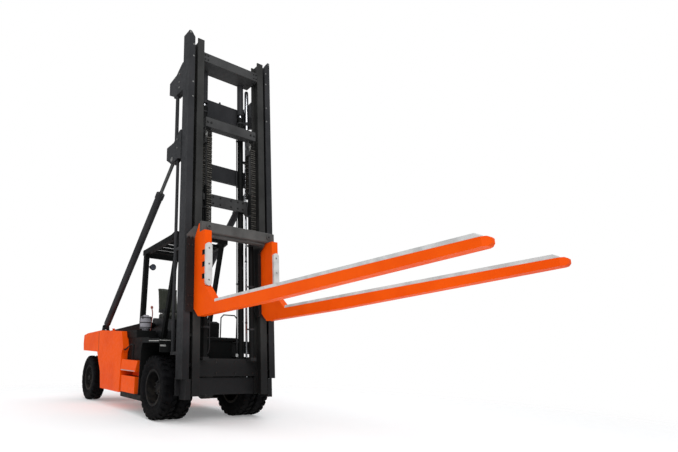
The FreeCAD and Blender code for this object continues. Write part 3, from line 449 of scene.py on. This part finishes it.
def add_bolt(bm, at, axis, size=0.024, head=0.014, washer=True):
    """Hex head on a washer; size is across the flats."""
    z = 0.0
    if washer:
        add_lathe(bm, at, axis, [(0, 0), (0, size * 0.85), (0.0035, size * 0.85), (0.0035, 0)], 14)
        z = 0.0035
    add_lathe(bm, at, axis, [(z, 0), (z, size * 0.577), (z + head * 0.85, size * 0.577),
                             (z + head, size * 0.47), (z + head, 0)], 6)


def bolt_grid(bm, v, ys, us, size):
    """Rows of bolts on the front of the mast, on both sides."""
    for s in SIDES:
        for y in ys:
            for u in us:
                add_bolt(bm, mast(v, s * y, u), V_AXIS, size)


def sweep(bm, points, r, seg=10):
    """Round tube along a polyline, mitred at its corners."""
    rings = []
    count = len(points)
    hint = None
    for i, p in enumerate(points):
        d0 = (p - points[i - 1]).normalized() if i else (points[1] - p).normalized()
        d1 = (points[i + 1] - p).normalized() if i < count - 1 else d0
        t = (d0 + d1).normalized()
        if hint is None:
            hint = basis(t)[0]
        a = (hint - t * hint.dot(t)).normalized()
        b = t.cross(a)
        hint = a
        stretch = 1.0 / max(0.5, d0.dot(t))
        side = (d1 - d0)
        ring = []
        for k in range(seg):
            ang = 2 * math.pi * k / seg
            off = (a * math.cos(ang) + b * math.sin(ang)) * r
            if side.length > 1e-6:
                s = side.normalized()
                off += s * off.dot(s) * (stretch - 1.0)
            ring.append(bm.verts.new(p + off))
        rings.append(ring)
    for p, q in zip(rings, rings[1:]):
        for k in range(seg):
            j = (k + 1) % seg
            bm.faces.new((p[k], q[k], q[j], p[j]))
    bm.faces.new(rings[0])
    bm.faces.new(rings[-1])


def soften(points, radius, steps=5):
    """Rounds a polyline's corners."""
    out = [points[0]]
    for a, b, c in zip(points, points[1:], points[2:]):
        da, dc = (a - b), (c - b)
        r = min(radius, da.length * 0.45, dc.length * 0.45)
        p, q = b + da.normalized() * r, b + dc.normalized() * r
        for k in range(steps + 1):
            t = k / steps
            out.append(p * (1 - t) ** 2 + b * (2 * t * (1 - t)) + q * t ** 2)
    out.append(points[-1])
    return out


# ---- wheels -------------------------------------------------------------------------------------
def tyre_piece(name, node, body, centre, radius, width, bore, lugs, turn):
    """Tyre with ribbed walls and a chevron of shoulder lugs, in the place of its CAD solid."""
    bm = bmesh.new()
    h = width / 2
    wall = radius - bore
    base = radius - 0.024
    side = [(0.36 * width, bore), (0.37 * width, bore + 0.028), (0.425 * width, bore + 0.05),
            (0.43 * width, bore + 0.062), (0.455 * width, bore + wall * 0.34),
            (0.475 * width, bore + wall * 0.36), (0.472 * width, bore + wall * 0.40),
            (h * 0.985, bore + wall * 0.52), (h * 0.995, bore + wall * 0.60),
            (h * 0.985, bore + wall * 0.70), (h * 0.97, bore + wall * 0.705),
            (h * 0.95, bore + wall * 0.80), (h * 0.90, base - 0.02), (h * 0.80, base)]
    profile = side + [(-a, b) for a, b in reversed(side)] + side[:1]
    add_lathe(bm, centre, Y_AXIS, profile, 96)
    for k in range(lugs):
        for s in SIDES:
            a0 = 2 * math.pi * (k + (0.25 if s > 0 else -0.25)) / lugs + turn
            step = 2 * math.pi / lugs
            rows = [(0.03, radius - 0.001, -0.17), (h * 0.55, radius, -0.02),
                    (h * 0.86, radius - 0.006, 0.10), (h * 0.965, radius - 0.045, 0.12)]
            ring = []
            for y, r, lean in rows:
                half = 0.27 * step
                for sign in (-1, 1):
                    t = a0 + lean * step + sign * half * (0.86 if y < 0.05 else 1.0)
                    out = Vector((math.cos(t), 0, math.sin(t)))
                    low = base - 0.012 if y < h * 0.9 else r - 0.03
                    ring.append((centre + Y_AXIS * (s * y) + out * r,
                                 centre + Y_AXIS * (s * y * 0.985) + out * low))
            tops = [bm.verts.new(p) for p, q in ring]
            lows = [bm.verts.new(q) for p, q in ring]
            count = len(rows)
            for i in range(count - 1):
                bm.faces.new((tops[2 * i], tops[2 * i + 1], tops[2 * i + 3], tops[2 * i + 2]))
                bm.faces.new((tops[2 * i], tops[2 * i + 2], lows[2 * i + 2], lows[2 * i]))
                bm.faces.new((tops[2 * i + 1], lows[2 * i + 1], lows[2 * i + 3], tops[2 * i + 3]))
            bm.faces.new((tops[0], lows[0], lows[1], tops[1]))
            e = 2 * (count - 1)
            bm.faces.new((tops[e], tops[e + 1], lows[e + 1], lows[e]))
    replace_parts(piece(name, bm, RUBBER, body, angle=40), node)


def wheel_nuts(name, centre, sign, radius, count, body):
    """A circle of nuts on their studs."""
    bm = bmesh.new()
    axis = Y_AXIS * sign
    for k in range(count):
        t = 2 * math.pi * k / count
        at = centre + Vector((math.cos(t), 0, math.sin(t))) * radius
        add_bolt(bm, at, axis, 0.034, 0.022)
        add_rod(bm, at + axis * 0.02, at + axis * 0.042, 0.009, 8)
    piece(name, bm, DARK_BOLT, body)


def wheels():
    for side, s in (("left", 1), ("right", -1)):
        body = "front_wheels_" + side
        for name, y, turn in (("outer", 0.960, 0.03), ("inner", 0.670, 0.11)):
            tyre_piece(name + "_drive_tyre_" + side, "front_tyres_" + side, body,
                       truck(0, s * y, DRIVE_R), DRIVE_R, DRIVE_W, DRIVE_BORE, 26, turn)
        wheel_nuts("drive_wheel_nuts_" + side, truck(0, s * 0.8335, DRIVE_R), s, 0.205, 10, body)
        wheel_nuts("drive_hub_bolts_" + side, truck(0, s * 0.9495, DRIVE_R), s, 0.103, 8, body)
        body = "rear_wheel_" + side
        tyre_piece("steer_tyre_" + side, "rear_tyre_" + side, body,
                   truck(STEER_X, s * 0.905, STEER_R), STEER_R, STEER_W, STEER_BORE, 24, 0.05)
        wheel_nuts("steer_wheel_nuts_" + side, truck(STEER_X, s * 0.9445, STEER_R), s, 0.165, 8, body)


# ---- mast detail --------------------------------------------------------------------------------
def add_link(bm, centre, across, facing, along, length):
    """One chain plate, wide at both pins and narrow between them."""
    half = [(-0.5, 0.004), (-0.36, 0.0115), (-0.14, 0.0105), (0.0, 0.0055), (0.14, 0.0105), (0.36, 0.0115),
            (0.5, 0.004)]
    ring = [(a * length, b) for a, b in half] + [(a * length, -b) for a, b in reversed(half)]
    sides = [[bm.verts.new(centre + across * s + along * a + facing * b) for a, b in ring]
             for s in (-0.0018, 0.0018)]
    for verts in sides:
        bm.faces.new(verts)
    for k in range(len(ring)):
        j = k - 1
        bm.faces.new((sides[0][j], sides[0][k], sides[1][k], sides[1][j]))


def add_row(bm, centre, facing, along, length, index):
    """One row of plates across the chain; odd rows sit between the plates of even ones."""
    shift = 0.0 if index % 2 else 0.0042
    for j in STRANDS:
        add_link(bm, centre + Y_AXIS * (j * 0.0086 + shift - 0.002), Y_AXIS, facing, along, length)


def chains():
    """Leaf chains over their sheaves: front run to the carriage, back run to the anchor."""
    top = SHEAVE_U - 0.01
    runs = ((RAM_V + 0.10, 2.96), (RAM_V - 0.10, 3.80))
    links, pins, sheaves, caps = (bmesh.new() for _ in range(4))
    for s in SIDES:
        y = RAM_Y * s
        for v, low in runs:
            start = mast(v, y, low)
            run = mast(v, y, top) - start
            count = int(run.length / PITCH)
            d = run.normalized()
            for k in range(count):
                add_row(links, start + d * ((k + 0.5) * run.length / count), V_AXIS, d, PITCH * 0.92, k)
            for k in range(int((top - low - 0.02) / PITCH)):
                at = mast(v, y, low + 0.02 + PITCH * k)
                add_rod(pins, at - Y_AXIS * 0.0496, at + Y_AXIS * 0.0496, 0.0118 if k % 2 else 0.0095, 8)
        for k in range(9):
            t = math.pi * (k + 0.5) / 9
            out = V_AXIS * math.cos(t) + U_AXIS * math.sin(t)
            along = U_AXIS * math.cos(t) - V_AXIS * math.sin(t)
            add_row(links, mast(RAM_V, y, SHEAVE_U) + out * 0.100, out, along, 0.040, k)
        half = [(-0.050, 0.0225), (-0.050, 0.040), (-0.044, 0.042), (-0.040, 0.070), (-0.047, 0.074),
                (-0.050, 0.087)]
        add_lathe(sheaves, mast(RAM_V, y, SHEAVE_U), Y_AXIS,
                  half + [(-a, b) for a, b in reversed(half)] + half[:1], 40)
        for out in SIDES:
            add_lathe(caps, mast(RAM_V, y + out * 0.0722, SHEAVE_U), Y_AXIS * out,
                      [(0, 0), (0, 0.030), (0.004, 0.032), (0.008, 0.027), (0.008, 0)], 20)
            add_box(caps, mast(RAM_V, y + out * 0.0705, SHEAVE_U - 0.055), V_AXIS, Y_AXIS, U_AXIS,
                    0.070, 0.005, 0.022)
        for reach in (0.46, 0.54):
            add_bolt(caps, mast(0.240, s * reach, 5.115), V_AXIS, 0.028)
    for name, bm, mat in (("leaf_chains", links, CHAIN), ("chain_pins", pins, PIN_STEEL)):
        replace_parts(piece(name, bm, mat, "crosshead_body", smooth=False), "chains")
    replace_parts(piece("chain_sheaves", sheaves, PALE_STRIP, "crosshead_body"), "chains")
    piece("sheave_pin_caps", caps, DARK_BOLT, "crosshead_body")


def inner_mast_bolts():
    """Bolts of the three cross bars."""
    bolts = bmesh.new()
    bolt_grid(bolts, 0.030, (0.12, 0.28, 0.40), (3.58, 3.71), 0.022)
    bolt_grid(bolts, 0.240, (0.55, 0.61), (6.45, 6.54), 0.022)
    bolt_grid(bolts, 0.050, (0.20, 0.60), (0.42, 0.62), 0.024)
    piece("inner_mast_bolts", bolts, DARK_BOLT, "mast_inner")


def outer_mast_bolts():
    """Tie bolts, flat screws and top plates of the outer rails, and the tilt pins' caps."""
    bolts = bmesh.new()
    for s in SIDES:
        for u in (5.90, 6.02, 6.20):
            add_bolt(bolts, mast(-0.16, s * 0.964, u), Y_AXIS * s, 0.026)
        for u in (4.60, 4.78):
            add_bolt(bolts, mast(-0.14, s * 0.983, u), Y_AXIS * s, 0.026)
        for u in (5.55, 5.86, 6.42, 6.68):
            add_lathe(bolts, mast(0.237, s * 0.868, u), V_AXIS,
                      [(0, 0), (0, 0.017), (0.002, 0.016), (0.003, 0.012), (0.003, 0)], 16)
        add_box(bolts, mast(0.2375, s * 0.945, 6.925), V_AXIS, Y_AXIS, U_AXIS, 0.003, 0.038, 0.045)
        add_lathe(bolts, mast(-0.36, s * 0.983, 4.45), Y_AXIS * s,
                  [(0, 0), (0, 0.045), (0.006, 0.047), (0.010, 0.040), (0.012, 0)], 24)
    piece("outer_mast_bolts", bolts, BOLT, "mast_outer")


def lift_pipes():
    """Feed lines, return pipes with their wide sleeves, and clamps, all on the outer mast."""
    lines, pale, clamps = (bmesh.new() for _ in range(3))
    for s in SIDES:
        run = [mast(LIFT_V, s * 0.375, 0.42), mast(-0.110, s * 0.348, 0.50),
               mast(-0.110, s * 0.348, 5.36), mast(LIFT_V, s * 0.385, 5.50)]
        sweep(lines, soften(run, 0.06), 0.011, 10)
        for u in (1.0, 2.1, 3.2, 4.1, 5.1):
            add_box(lines, mast(-0.110, s * 0.358, u), V_AXIS, Y_AXIS, U_AXIS, 0.028, 0.044, 0.035)
        for u in (0.36, 5.49):
            add_upright(lines, LIFT_V, s * LIFT_Y, u, u + 0.03, 0.070, 28)
        add_upright(pale, LIFT_V, s * PIPE_Y, 0.3502, 4.60, 0.020, 20)
        add_lathe(pale, mast(LIFT_V, s * SLEEVE_Y, 4.56), U_AXIS,
                  [(0, 0), (0, 0.036), (0.02, 0.044), (1.72, 0.044), (1.75, 0.036), (1.75, 0)], 28)
        for u in (1.35, 2.55, 3.65):
            add_upright(clamps, LIFT_V, s * PIPE_Y, u, u + 0.03, 0.026, 20)
        for u in (4.62, 5.50):
            add_upright(clamps, LIFT_V, s * SLEEVE_Y, u, u + 0.08, 0.050, 28)
            add_box(clamps, mast(LIFT_V, s * 0.522, u + 0.04), V_AXIS, Y_AXIS, U_AXIS,
                    0.030, 0.050, 0.050)
    piece("lift_lines", lines, BLACK_MAST, "mast_outer", bevel=0.002)
    piece("return_pipes", pale, CHROME, "mast_outer")
    piece("pipe_clamps", clamps, BLACK_MAST, "mast_outer", bevel=0.0015)


def free_lift_lines():
    """Feed lines of the free-lift cylinders and the rings that hold them."""
    line = bmesh.new()
    ring = [(0, 0.0505), (0, 0.055), (0.03, 0.055), (0.03, 0.0505), (0, 0.0505)]
    for s in SIDES:
        run = [mast(RAM_V, s * y, u) for y, u in
               ((0.43, 0.76), (0.40, 0.84), (0.40, 3.55), (0.435, 3.66), (0.452, 3.78))]
        sweep(line, soften(run, 0.05), 0.009, 10)
        for u in (1.2, 2.0, 2.8, 3.4):
            add_lathe(line, mast(RAM_V, s * RAM_Y, u), U_AXIS, ring, 24)
            add_box(line, mast(RAM_V, s * 0.425, u + 0.015), V_AXIS, Y_AXIS, U_AXIS, 0.02, 0.055, 0.026)
    piece("free_lift_lines", line, BLACK_MAST, "mast_inner")


def rod_collars():
    """Sleeves round the lift rods' tops and the glands where each rod leaves its barrel."""
    sleeve = [(0, 0.050), (0, 0.065), (0.696, 0.065), (0.696, 0.050), (0, 0.050)]
    gland = [(0, 0.0365), (0, 0.056), (0.012, 0.054), (0.020, 0.045), (0.024, 0.0365), (0, 0.0365)]
    small = [(0, 0.0315), (0, 0.048), (0.012, 0.046), (0.02, 0.036), (0.022, 0.0315), (0, 0.0315)]
    for name, mat, body, v, y, u, profile in (
            ("rod_guards", BLACK_MAST, "mast_inner", LIFT_V, LIFT_Y, 5.70, sleeve),
            ("lift_glands", DARK_BOLT, "mast_outer", LIFT_V, LIFT_Y, 5.62, gland),
            ("free_lift_glands", DARK_BOLT, "mast_inner", RAM_V, RAM_Y, 3.85, small)):
        bm = bmesh.new()
        for s in SIDES:
            add_lathe(bm, mast(v, s * y, u), U_AXIS, profile, 32)
        piece(name, bm, mat, body)


def carriage_bolts():
    """Bolts of the carriage plates, of its top bar and of the chains' anchors."""
    bolts = bmesh.new()
    bolt_grid(bolts, 0.272, (0.835, 0.905), (1.56, 1.72, 2.62, 2.76), 0.026)
    for s in SIDES:
        add_bolt(bolts, mast(0.535, s * 0.65, 2.93), V_AXIS, 0.036, 0.014, False)
        for u in (2.87, 2.97):
            add_bolt(bolts, mast(0.331, s * RAM_Y, u), V_AXIS, 0.024, 0.012, False)
    piece("carriage_bolts", bolts, DARK_BOLT, "carriage_body")


def pad_screws():
    """Countersunk screws in the shanks' bumpers and along the blades' wear strips."""
    screws = bmesh.new()
    for s in SIDES:
        for u in (1.95, 2.225, 2.50):
            add_lathe(screws, mast(0.6656, s * FORK_Y, u), V_AXIS,
                      [(0.0005, 0), (0.0005, 0.016), (0.003, 0.014), (0.003, 0.007), (0.001, 0.006),
                       (0.001, 0)], 20)
        for k in range(10):
            add_lathe(screws, mast(1.15 + 0.45 * k, s * FORK_Y, 1.5853), U_AXIS,
                      [(0, 0), (0, 0.011), (0.0015, 0.009), (0.0015, 0)], 14)
    piece("pad_screws", screws, BOLT, "carriage_body")


def shank_pocket_shade():
    """Painted shade in the three slots in each fork's shank: dark sheets on its back, its inner side, top
    and bottom.
    """
    dark = bmesh.new()
    deep, wide, tall, skin = 0.0740, 0.0390, 0.0880, 0.0012
    for s in SIDES:
        for u in (2.0167, 2.225, 2.4333):
            add_box(dark, mast(POCKET_V, s * 0.7509, u), V_AXIS, Y_AXIS, U_AXIS, deep, skin, tall)
            add_box(dark, mast(0.5460, s * PAD_Y, u), V_AXIS, Y_AXIS, U_AXIS, skin, wide, tall)
            for k in SIDES:
                add_box(dark, mast(POCKET_V, s * PAD_Y, u + k * 0.0442), V_AXIS, Y_AXIS, U_AXIS,
                        deep, wide, skin)
    piece("shank_pocket_shade", dark, PLASTIC, "carriage_body", smooth=False)


# ---- truck detail -------------------------------------------------------------------------------
def counterweight_fittings():
    """Lifting bosses on the casting's top, and a dark strip of painted shade down each side."""
    knob, seam = bmesh.new(), bmesh.new()
    up = Vector((-0.08, 0, 0.47)).normalized()
    for s in SIDES:
        add_lathe(knob, truck(-3.12, s * 0.76, 1.6186), Z_AXIS,
                  [(0, 0), (0, 0.042), (0.010, 0.041), (0.014, 0.024), (0.030, 0.023), (0.036, 0.034),
                   (0.048, 0.034), (0.056, 0.024), (0.058, 0)], 28)
        # Painted shade: a dark strip standing in for the edge line down the side.
        add_box(seam, truck(-3.235, s * 1.0482, 1.365), up.cross(Y_AXIS), Y_AXIS, up, 0.014, 0.004, 0.455)
    piece("lifting_bosses", knob, ORANGE, "chassis")
    piece("casting_edge_shade", seam, CAST, "chassis", bevel=0.001)


def step_fittings():
    """Tread bars and the pale edge of the lower step."""
    treads, pale = bmesh.new(), bmesh.new()
    for s in SIDES:
        for k in range(9):
            add_block(treads, truck(-1.56 + 0.075 * k, s * 0.955, 0.6915), 0.028, 0.13, 0.005)
        for k in range(8):
            add_block(treads, truck(-1.58 + 0.09 * k, s * 0.96, 1.0045), 0.034, 0.12, 0.005)
        add_block(pale, truck(-1.32, s * 1.0505, 0.796), 0.74, 0.004, 0.016)
    piece("step_treads", treads, BLACK, "chassis", bevel=0.0015)
    piece("step_edges", pale, PALE_STRIP, "chassis", bevel=0.001)


def fender_trim():
    """Rolled lip of each mudguard and its pale strips, two of them on the sloped front."""
    lip, pale = bmesh.new(), bmesh.new()
    slope = Vector((0.05, 0, -0.24)).normalized()
    face = Y_AXIS.cross(slope) * -1
    for s in SIDES:
        add_block(lip, truck(-0.19, s * 1.0825, 1.3815), 0.74, 0.004, 0.075)
        add_block(pale, truck(-0.04, s * 1.0855, 1.378), 0.44, 0.002, 0.014)
        for x, y, z, wide, tall in ((0.1965, 0.975, 1.389, 0.21, 0.014),
                                    (0.2160, 1.020, 1.295, 0.11, 0.030)):
            add_box(pale, truck(x, s * y, z) + face * 0.001, face, Y_AXIS, slope, 0.002, wide, tall)
    piece("fender_lips", lip, BLACK, "chassis", bevel=0.001)
    piece("fender_strips", pale, PALE_STRIP, "chassis")


def work_lamp():
    """Lens and bezel on the guard's lamp."""
    lens, ring = bmesh.new(), bmesh.new()
    d = Vector((1, 0.1, -0.12)).normalized()
    at = truck(-1.72, -0.51, 2.998) + d * 0.0805
    add_lathe(lens, at, d, [(0, 0), (0, 0.060), (0.008, 0.058), (0.016, 0.04), (0.019, 0)], 40)
    add_lathe(ring, at, d,
              [(-0.004, 0.0605), (-0.004, 0.070), (0.010, 0.069), (0.012, 0.0605), (-0.004, 0.0605)], 40)
    piece("lamp_lens", lens, LENS, "chassis")
    piece("lamp_bezel", ring, PLASTIC, "chassis")


def air_cleaner_fittings():
    """Bands and clips round the canister, and the hose from its side to the hood."""
    can = bmesh.new()
    axis = truck(CLEANER_X, CLEANER_Y, 0)
    band = [(0, 0.1146), (0, 0.1185), (0.018, 0.1185), (0.018, 0.1146), (0, 0.1146)]
    for z in (1.652, 1.752, 1.852):
        add_lathe(can, axis + Z_AXIS * z, Z_AXIS, band, 48)
    for a in (0.5, 2.1, 3.9, 5.3):
        r = Vector((math.cos(a), math.sin(a), 0))
        add_box(can, axis + Z_AXIS * 1.861 + r * 0.119, Z_AXIS, r, Z_AXIS.cross(r), 0.060, 0.010, 0.018)
    piece("cleaner_bands", can, DARK_BOLT, "chassis", bevel=0.001)
    hose = bmesh.new()
    run = [truck(CLEANER_X, -0.590, 1.73), truck(CLEANER_X, -0.505, 1.73), truck(-1.60, -0.498, 1.70),
           truck(-1.775, -0.470, 1.66)]
    sweep(hose, soften(run, 0.10, 8), 0.034, 16)
    piece("intake_hose", hose, RUBBER, "chassis")


def controls():
    """Gauges on the dash, the parking lever with its knob, and two pedals."""
    dash, lever, pedals = (bmesh.new() for _ in range(3))
    gauge = [(0, 0), (0, 0.05), (0.010, 0.05), (0.012, 0.043), (0.007, 0.041), (0.007, 0)]
    for y in (-0.16, 0.0, 0.16):
        add_lathe(dash, truck(-0.268, y, 1.772), Vector((-0.65, 0, 0.55)).normalized(), gauge, 32)
    piece("dash_gauges", dash, PLASTIC, "chassis")
    run = [truck(-1.30, -0.62, 1.6005), truck(-1.31, -0.60, 1.80), truck(-1.305, -0.59, 1.96),
           truck(-1.335, -0.60, 2.06)]
    sweep(lever, soften(run, 0.06), 0.011, 10)
    add_lathe(lever, truck(-1.335, -0.60, 2.055), Vector((-0.2, 0, 1)),
              [(0, 0), (0.004, 0.020), (0.020, 0.028), (0.044, 0.026), (0.060, 0.014), (0.064, 0)], 20)
    piece("park_lever", lever, RED_KNOB, "chassis")
    for y, wide in ((-0.20, 0.08), (0.22, 0.11)):
        add_box(pedals, truck(-0.56, y, 1.535), Vector((0.55, 0, 0.83)).normalized(), Y_AXIS,
                Vector((-0.83, 0, 0.55)).normalized(), 0.16, wide, 0.014)
        add_rod(pedals, truck(-0.53, y, 1.56), truck(-0.50, y, 1.4505), 0.012, 10)
    piece("pedals", pedals, PLASTIC, "chassis", bevel=0.002)


def on_hood(x, y, lift):
    """A place on the hood's sloped top, lifted off it."""
    return truck(x, y, HOOD_Z + (x - HOOD_BACK) * HOOD_SLOPE + lift)


def hood_louvres():
    """Hinge leaves and louvre blades on the hood."""
    hinge = bmesh.new()
    for s in SIDES:
        for x in (-3.0, -2.35):
            add_block(hinge, on_hood(x, s * 0.45, 0.004), 0.12, 0.06, 0.008)
        for k in range(9):
            add_box(hinge, on_hood(-3.75 + 0.07 * k, s * 0.20, 0.005), Vector((1, 0, 0.35)).normalized(),
                    Y_AXIS, Vector((-0.35, 0, 1)).normalized(), 0.045, 0.30, 0.006)
    piece("hood_louvres", hinge, BLACK, "chassis", bevel=0.001)


# ---- seat ---------------------------------------------------------------------------------------
def cushion(name, node, inset):
    """The CAD solid drawn in by inset, remeshed and puffed up as cloth, in the same place."""
    lo, hi = (Vector(p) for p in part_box(node))
    src = NODES[node]
    bm = bmesh.new()
    bm.from_mesh(src.data)
    bmesh.ops.dissolve_limit(bm, angle_limit=math.radians(2), verts=bm.verts, edges=bm.edges)
    mid = (lo + hi) / 2
    for v in bm.verts:
        d = v.co - mid
        v.co = mid + Vector([c - math.copysign(min(inset, abs(c)), c) for c in d])
    bmesh.ops.triangulate(bm, faces=bm.faces)
    me = bpy.data.meshes.new(name)
    bm.to_mesh(me)
    bm.free()
    obj = bpy.data.objects.new(name, me)
    bpy.context.scene.collection.objects.link(obj)
    remesh = obj.modifiers.new("remesh", "REMESH")
    remesh.mode = "VOXEL"
    remesh.voxel_size = VOXEL
    bake(obj)
    rest = [v.co.copy() for v in obj.data.vertices]
    puff(obj)
    for v, r in zip(obj.data.vertices, rest):
        d = v.co - r
        if d.length > PUFF_CAP:
            v.co = r + d * (PUFF_CAP / d.length)
    return obj, lo, hi


def bake(obj):
    """Applies the modifiers."""
    bpy.context.view_layer.update()
    deps = bpy.context.evaluated_depsgraph_get()
    new = bpy.data.meshes.new_from_object(obj.evaluated_get(deps))
    obj.modifiers.clear()
    obj.data = new


def puff(obj):
    """Twenty frames of cloth under pressure, with no gravity."""
    cloth = obj.modifiers.new("cloth", "CLOTH")
    s = cloth.settings
    s.quality = 5
    s.mass = 0.3
    s.tension_stiffness = 18
    s.compression_stiffness = 18
    s.bending_stiffness = 0.8
    s.use_pressure = True
    s.uniform_pressure_force = PRESSURE
    s.effector_weights.gravity = 0
    cloth.collision_settings.use_self_collision = False
    scene = bpy.context.scene
    for f in range(1, 21):
        scene.frame_set(f)
    bake(obj)
    scene.frame_set(1)


def finish_cushion(obj, lo, hi, node, normal, level):
    """Two sewn channels where the face lies past level along normal; box kept, one subdivision."""
    for v in obj.data.vertices:
        t = (v.co.y - lo.y) / (hi.y - lo.y)
        for seam in (0.2, 0.8):
            d = (t - seam) / 0.035
            if abs(d) < 3 and v.co.dot(normal) > level:
                v.co -= normal * (0.010 * math.exp(-d * d))
        for i, over in enumerate((0.0, 0.0, 0.012)):
            v.co[i] = min(max(v.co[i], lo[i] + 0.0002), hi[i] + over)
    me = obj.data
    me.materials.clear()
    me.materials.append(CLOTH)
    me.shade_smooth()
    sub = obj.modifiers.new("subdivision", "SUBSURF")
    sub.levels = 1
    sub.render_levels = 1
    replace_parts(obj, node)
    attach(obj, "chassis")


def seat():
    obj, lo, hi = cushion("seat_cushion_soft", "seat_cushion", 0.022)
    finish_cushion(obj, lo, hi, "seat_cushion", Z_AXIS, (lo.z + hi.z) / 2)
    obj, lo, hi = cushion("seat_back_soft", "seat_back", 0.020)
    normal = Vector((0.97, 0, 0.255)).normalized()
    middle = (Vector((hi.x, 0, lo.z)) + Vector((lo.x, 0, hi.z))) / 2
    finish_cushion(obj, lo, hi, "seat_back", normal, middle.dot(normal) - 0.02)


# ---- stage --------------------------------------------------------------------------------------
def stage():
    """Pale floor that fades out, white background, and four soft lamps."""
    bm = bmesh.new()
    r = 60.0
    bm.faces.new([bm.verts.new((x, y, 0)) for x, y in ((-r, -r), (r, -r), (r, r), (-r, r))])
    me = bpy.data.meshes.new("floor")
    bm.to_mesh(me)
    bm.free()
    floor = bpy.data.objects.new("floor", me)
    floor.location.z = -0.002
    bpy.context.scene.collection.objects.link(floor)
    n = Nodes("floor_paint")
    n.end(n.mix(n.noise(3.0, 3, 0.5), rgb(236, 236, 236), rgb(240, 240, 240)), 0.9)
    n.bsdf.inputs["Specular IOR Level"].default_value = 0.1
    n.bsdf.inputs["Emission Color"].default_value = (1, 1, 1, 1)
    n.bsdf.inputs["Emission Strength"].default_value = 0.20
    length = n.tree.nodes.new("ShaderNodeVectorMath")
    length.operation = "LENGTH"
    n.put(length.inputs[0], n.coord)
    fade = n.ramp(length.outputs["Value"], 5.0, 11.0)
    clear = n.tree.nodes.new("ShaderNodeBsdfTransparent")
    mixer = n.tree.nodes.new("ShaderNodeMixShader")
    n.put(mixer.inputs[0], fade)
    n.tree.links.new(n.bsdf.outputs[0], mixer.inputs[1])
    n.tree.links.new(clear.outputs[0], mixer.inputs[2])
    out = n.tree.nodes["Material Output"]
    n.tree.links.new(mixer.outputs[0], out.inputs["Surface"])
    me.materials.append(n.mat)
    world = bpy.data.worlds.new("studio")
    bpy.context.scene.world = world
    world.use_nodes = True
    t = world.node_tree
    t.nodes.clear()
    seen = t.nodes.new("ShaderNodeBackground")
    seen.inputs["Color"].default_value = (1, 1, 1, 1)
    seen.inputs["Strength"].default_value = 1.0
    light = t.nodes.new("ShaderNodeBackground")
    light.inputs["Color"].default_value = (0.95, 0.97, 1.0, 1)
    light.inputs["Strength"].default_value = 0.55
    path = t.nodes.new("ShaderNodeLightPath")
    mix = t.nodes.new("ShaderNodeMixShader")
    end = t.nodes.new("ShaderNodeOutputWorld")
    t.links.new(path.outputs["Is Camera Ray"], mix.inputs[0])
    t.links.new(light.outputs[0], mix.inputs[1])
    t.links.new(seen.outputs[0], mix.inputs[2])
    t.links.new(mix.outputs[0], end.inputs[0])
    lamps = (("key", (13.0, -6.0, 11.0), 9.0, 1250.0), ("fill", (-8.0, -11.0, 7.0), 8.0, 360.0),
             ("back", (-6.0, 10.0, 11.0), 8.0, 420.0), ("top", (0.0, 0.0, 15.0), 12.0, 420.0))
    for name, at, size, power in lamps:
        data = bpy.data.lights.new(name, "AREA")
        data.size = size
        data.energy = power
        lamp = bpy.data.objects.new(name, data)
        lamp.location = at
        aim = Vector((0, 0, 2.5)) - Vector(at)
        lamp.rotation_euler = aim.to_track_quat("-Z", "Y").to_euler()
        lamp.visible_glossy = name in ("key", "top")
        bpy.context.scene.collection.objects.link(lamp)
    bpy.context.scene.view_settings.view_transform = "Standard"


make_camera()
stage()
dress_cad()
wheels()
chains()
inner_mast_bolts()
outer_mast_bolts()
lift_pipes()
free_lift_lines()
rod_collars()
carriage_bolts()
pad_screws()
shank_pocket_shade()
counterweight_fittings()
step_fittings()
fender_trim()
work_lamp()
air_cleaner_fittings()
controls()
hood_louvres()
seat()
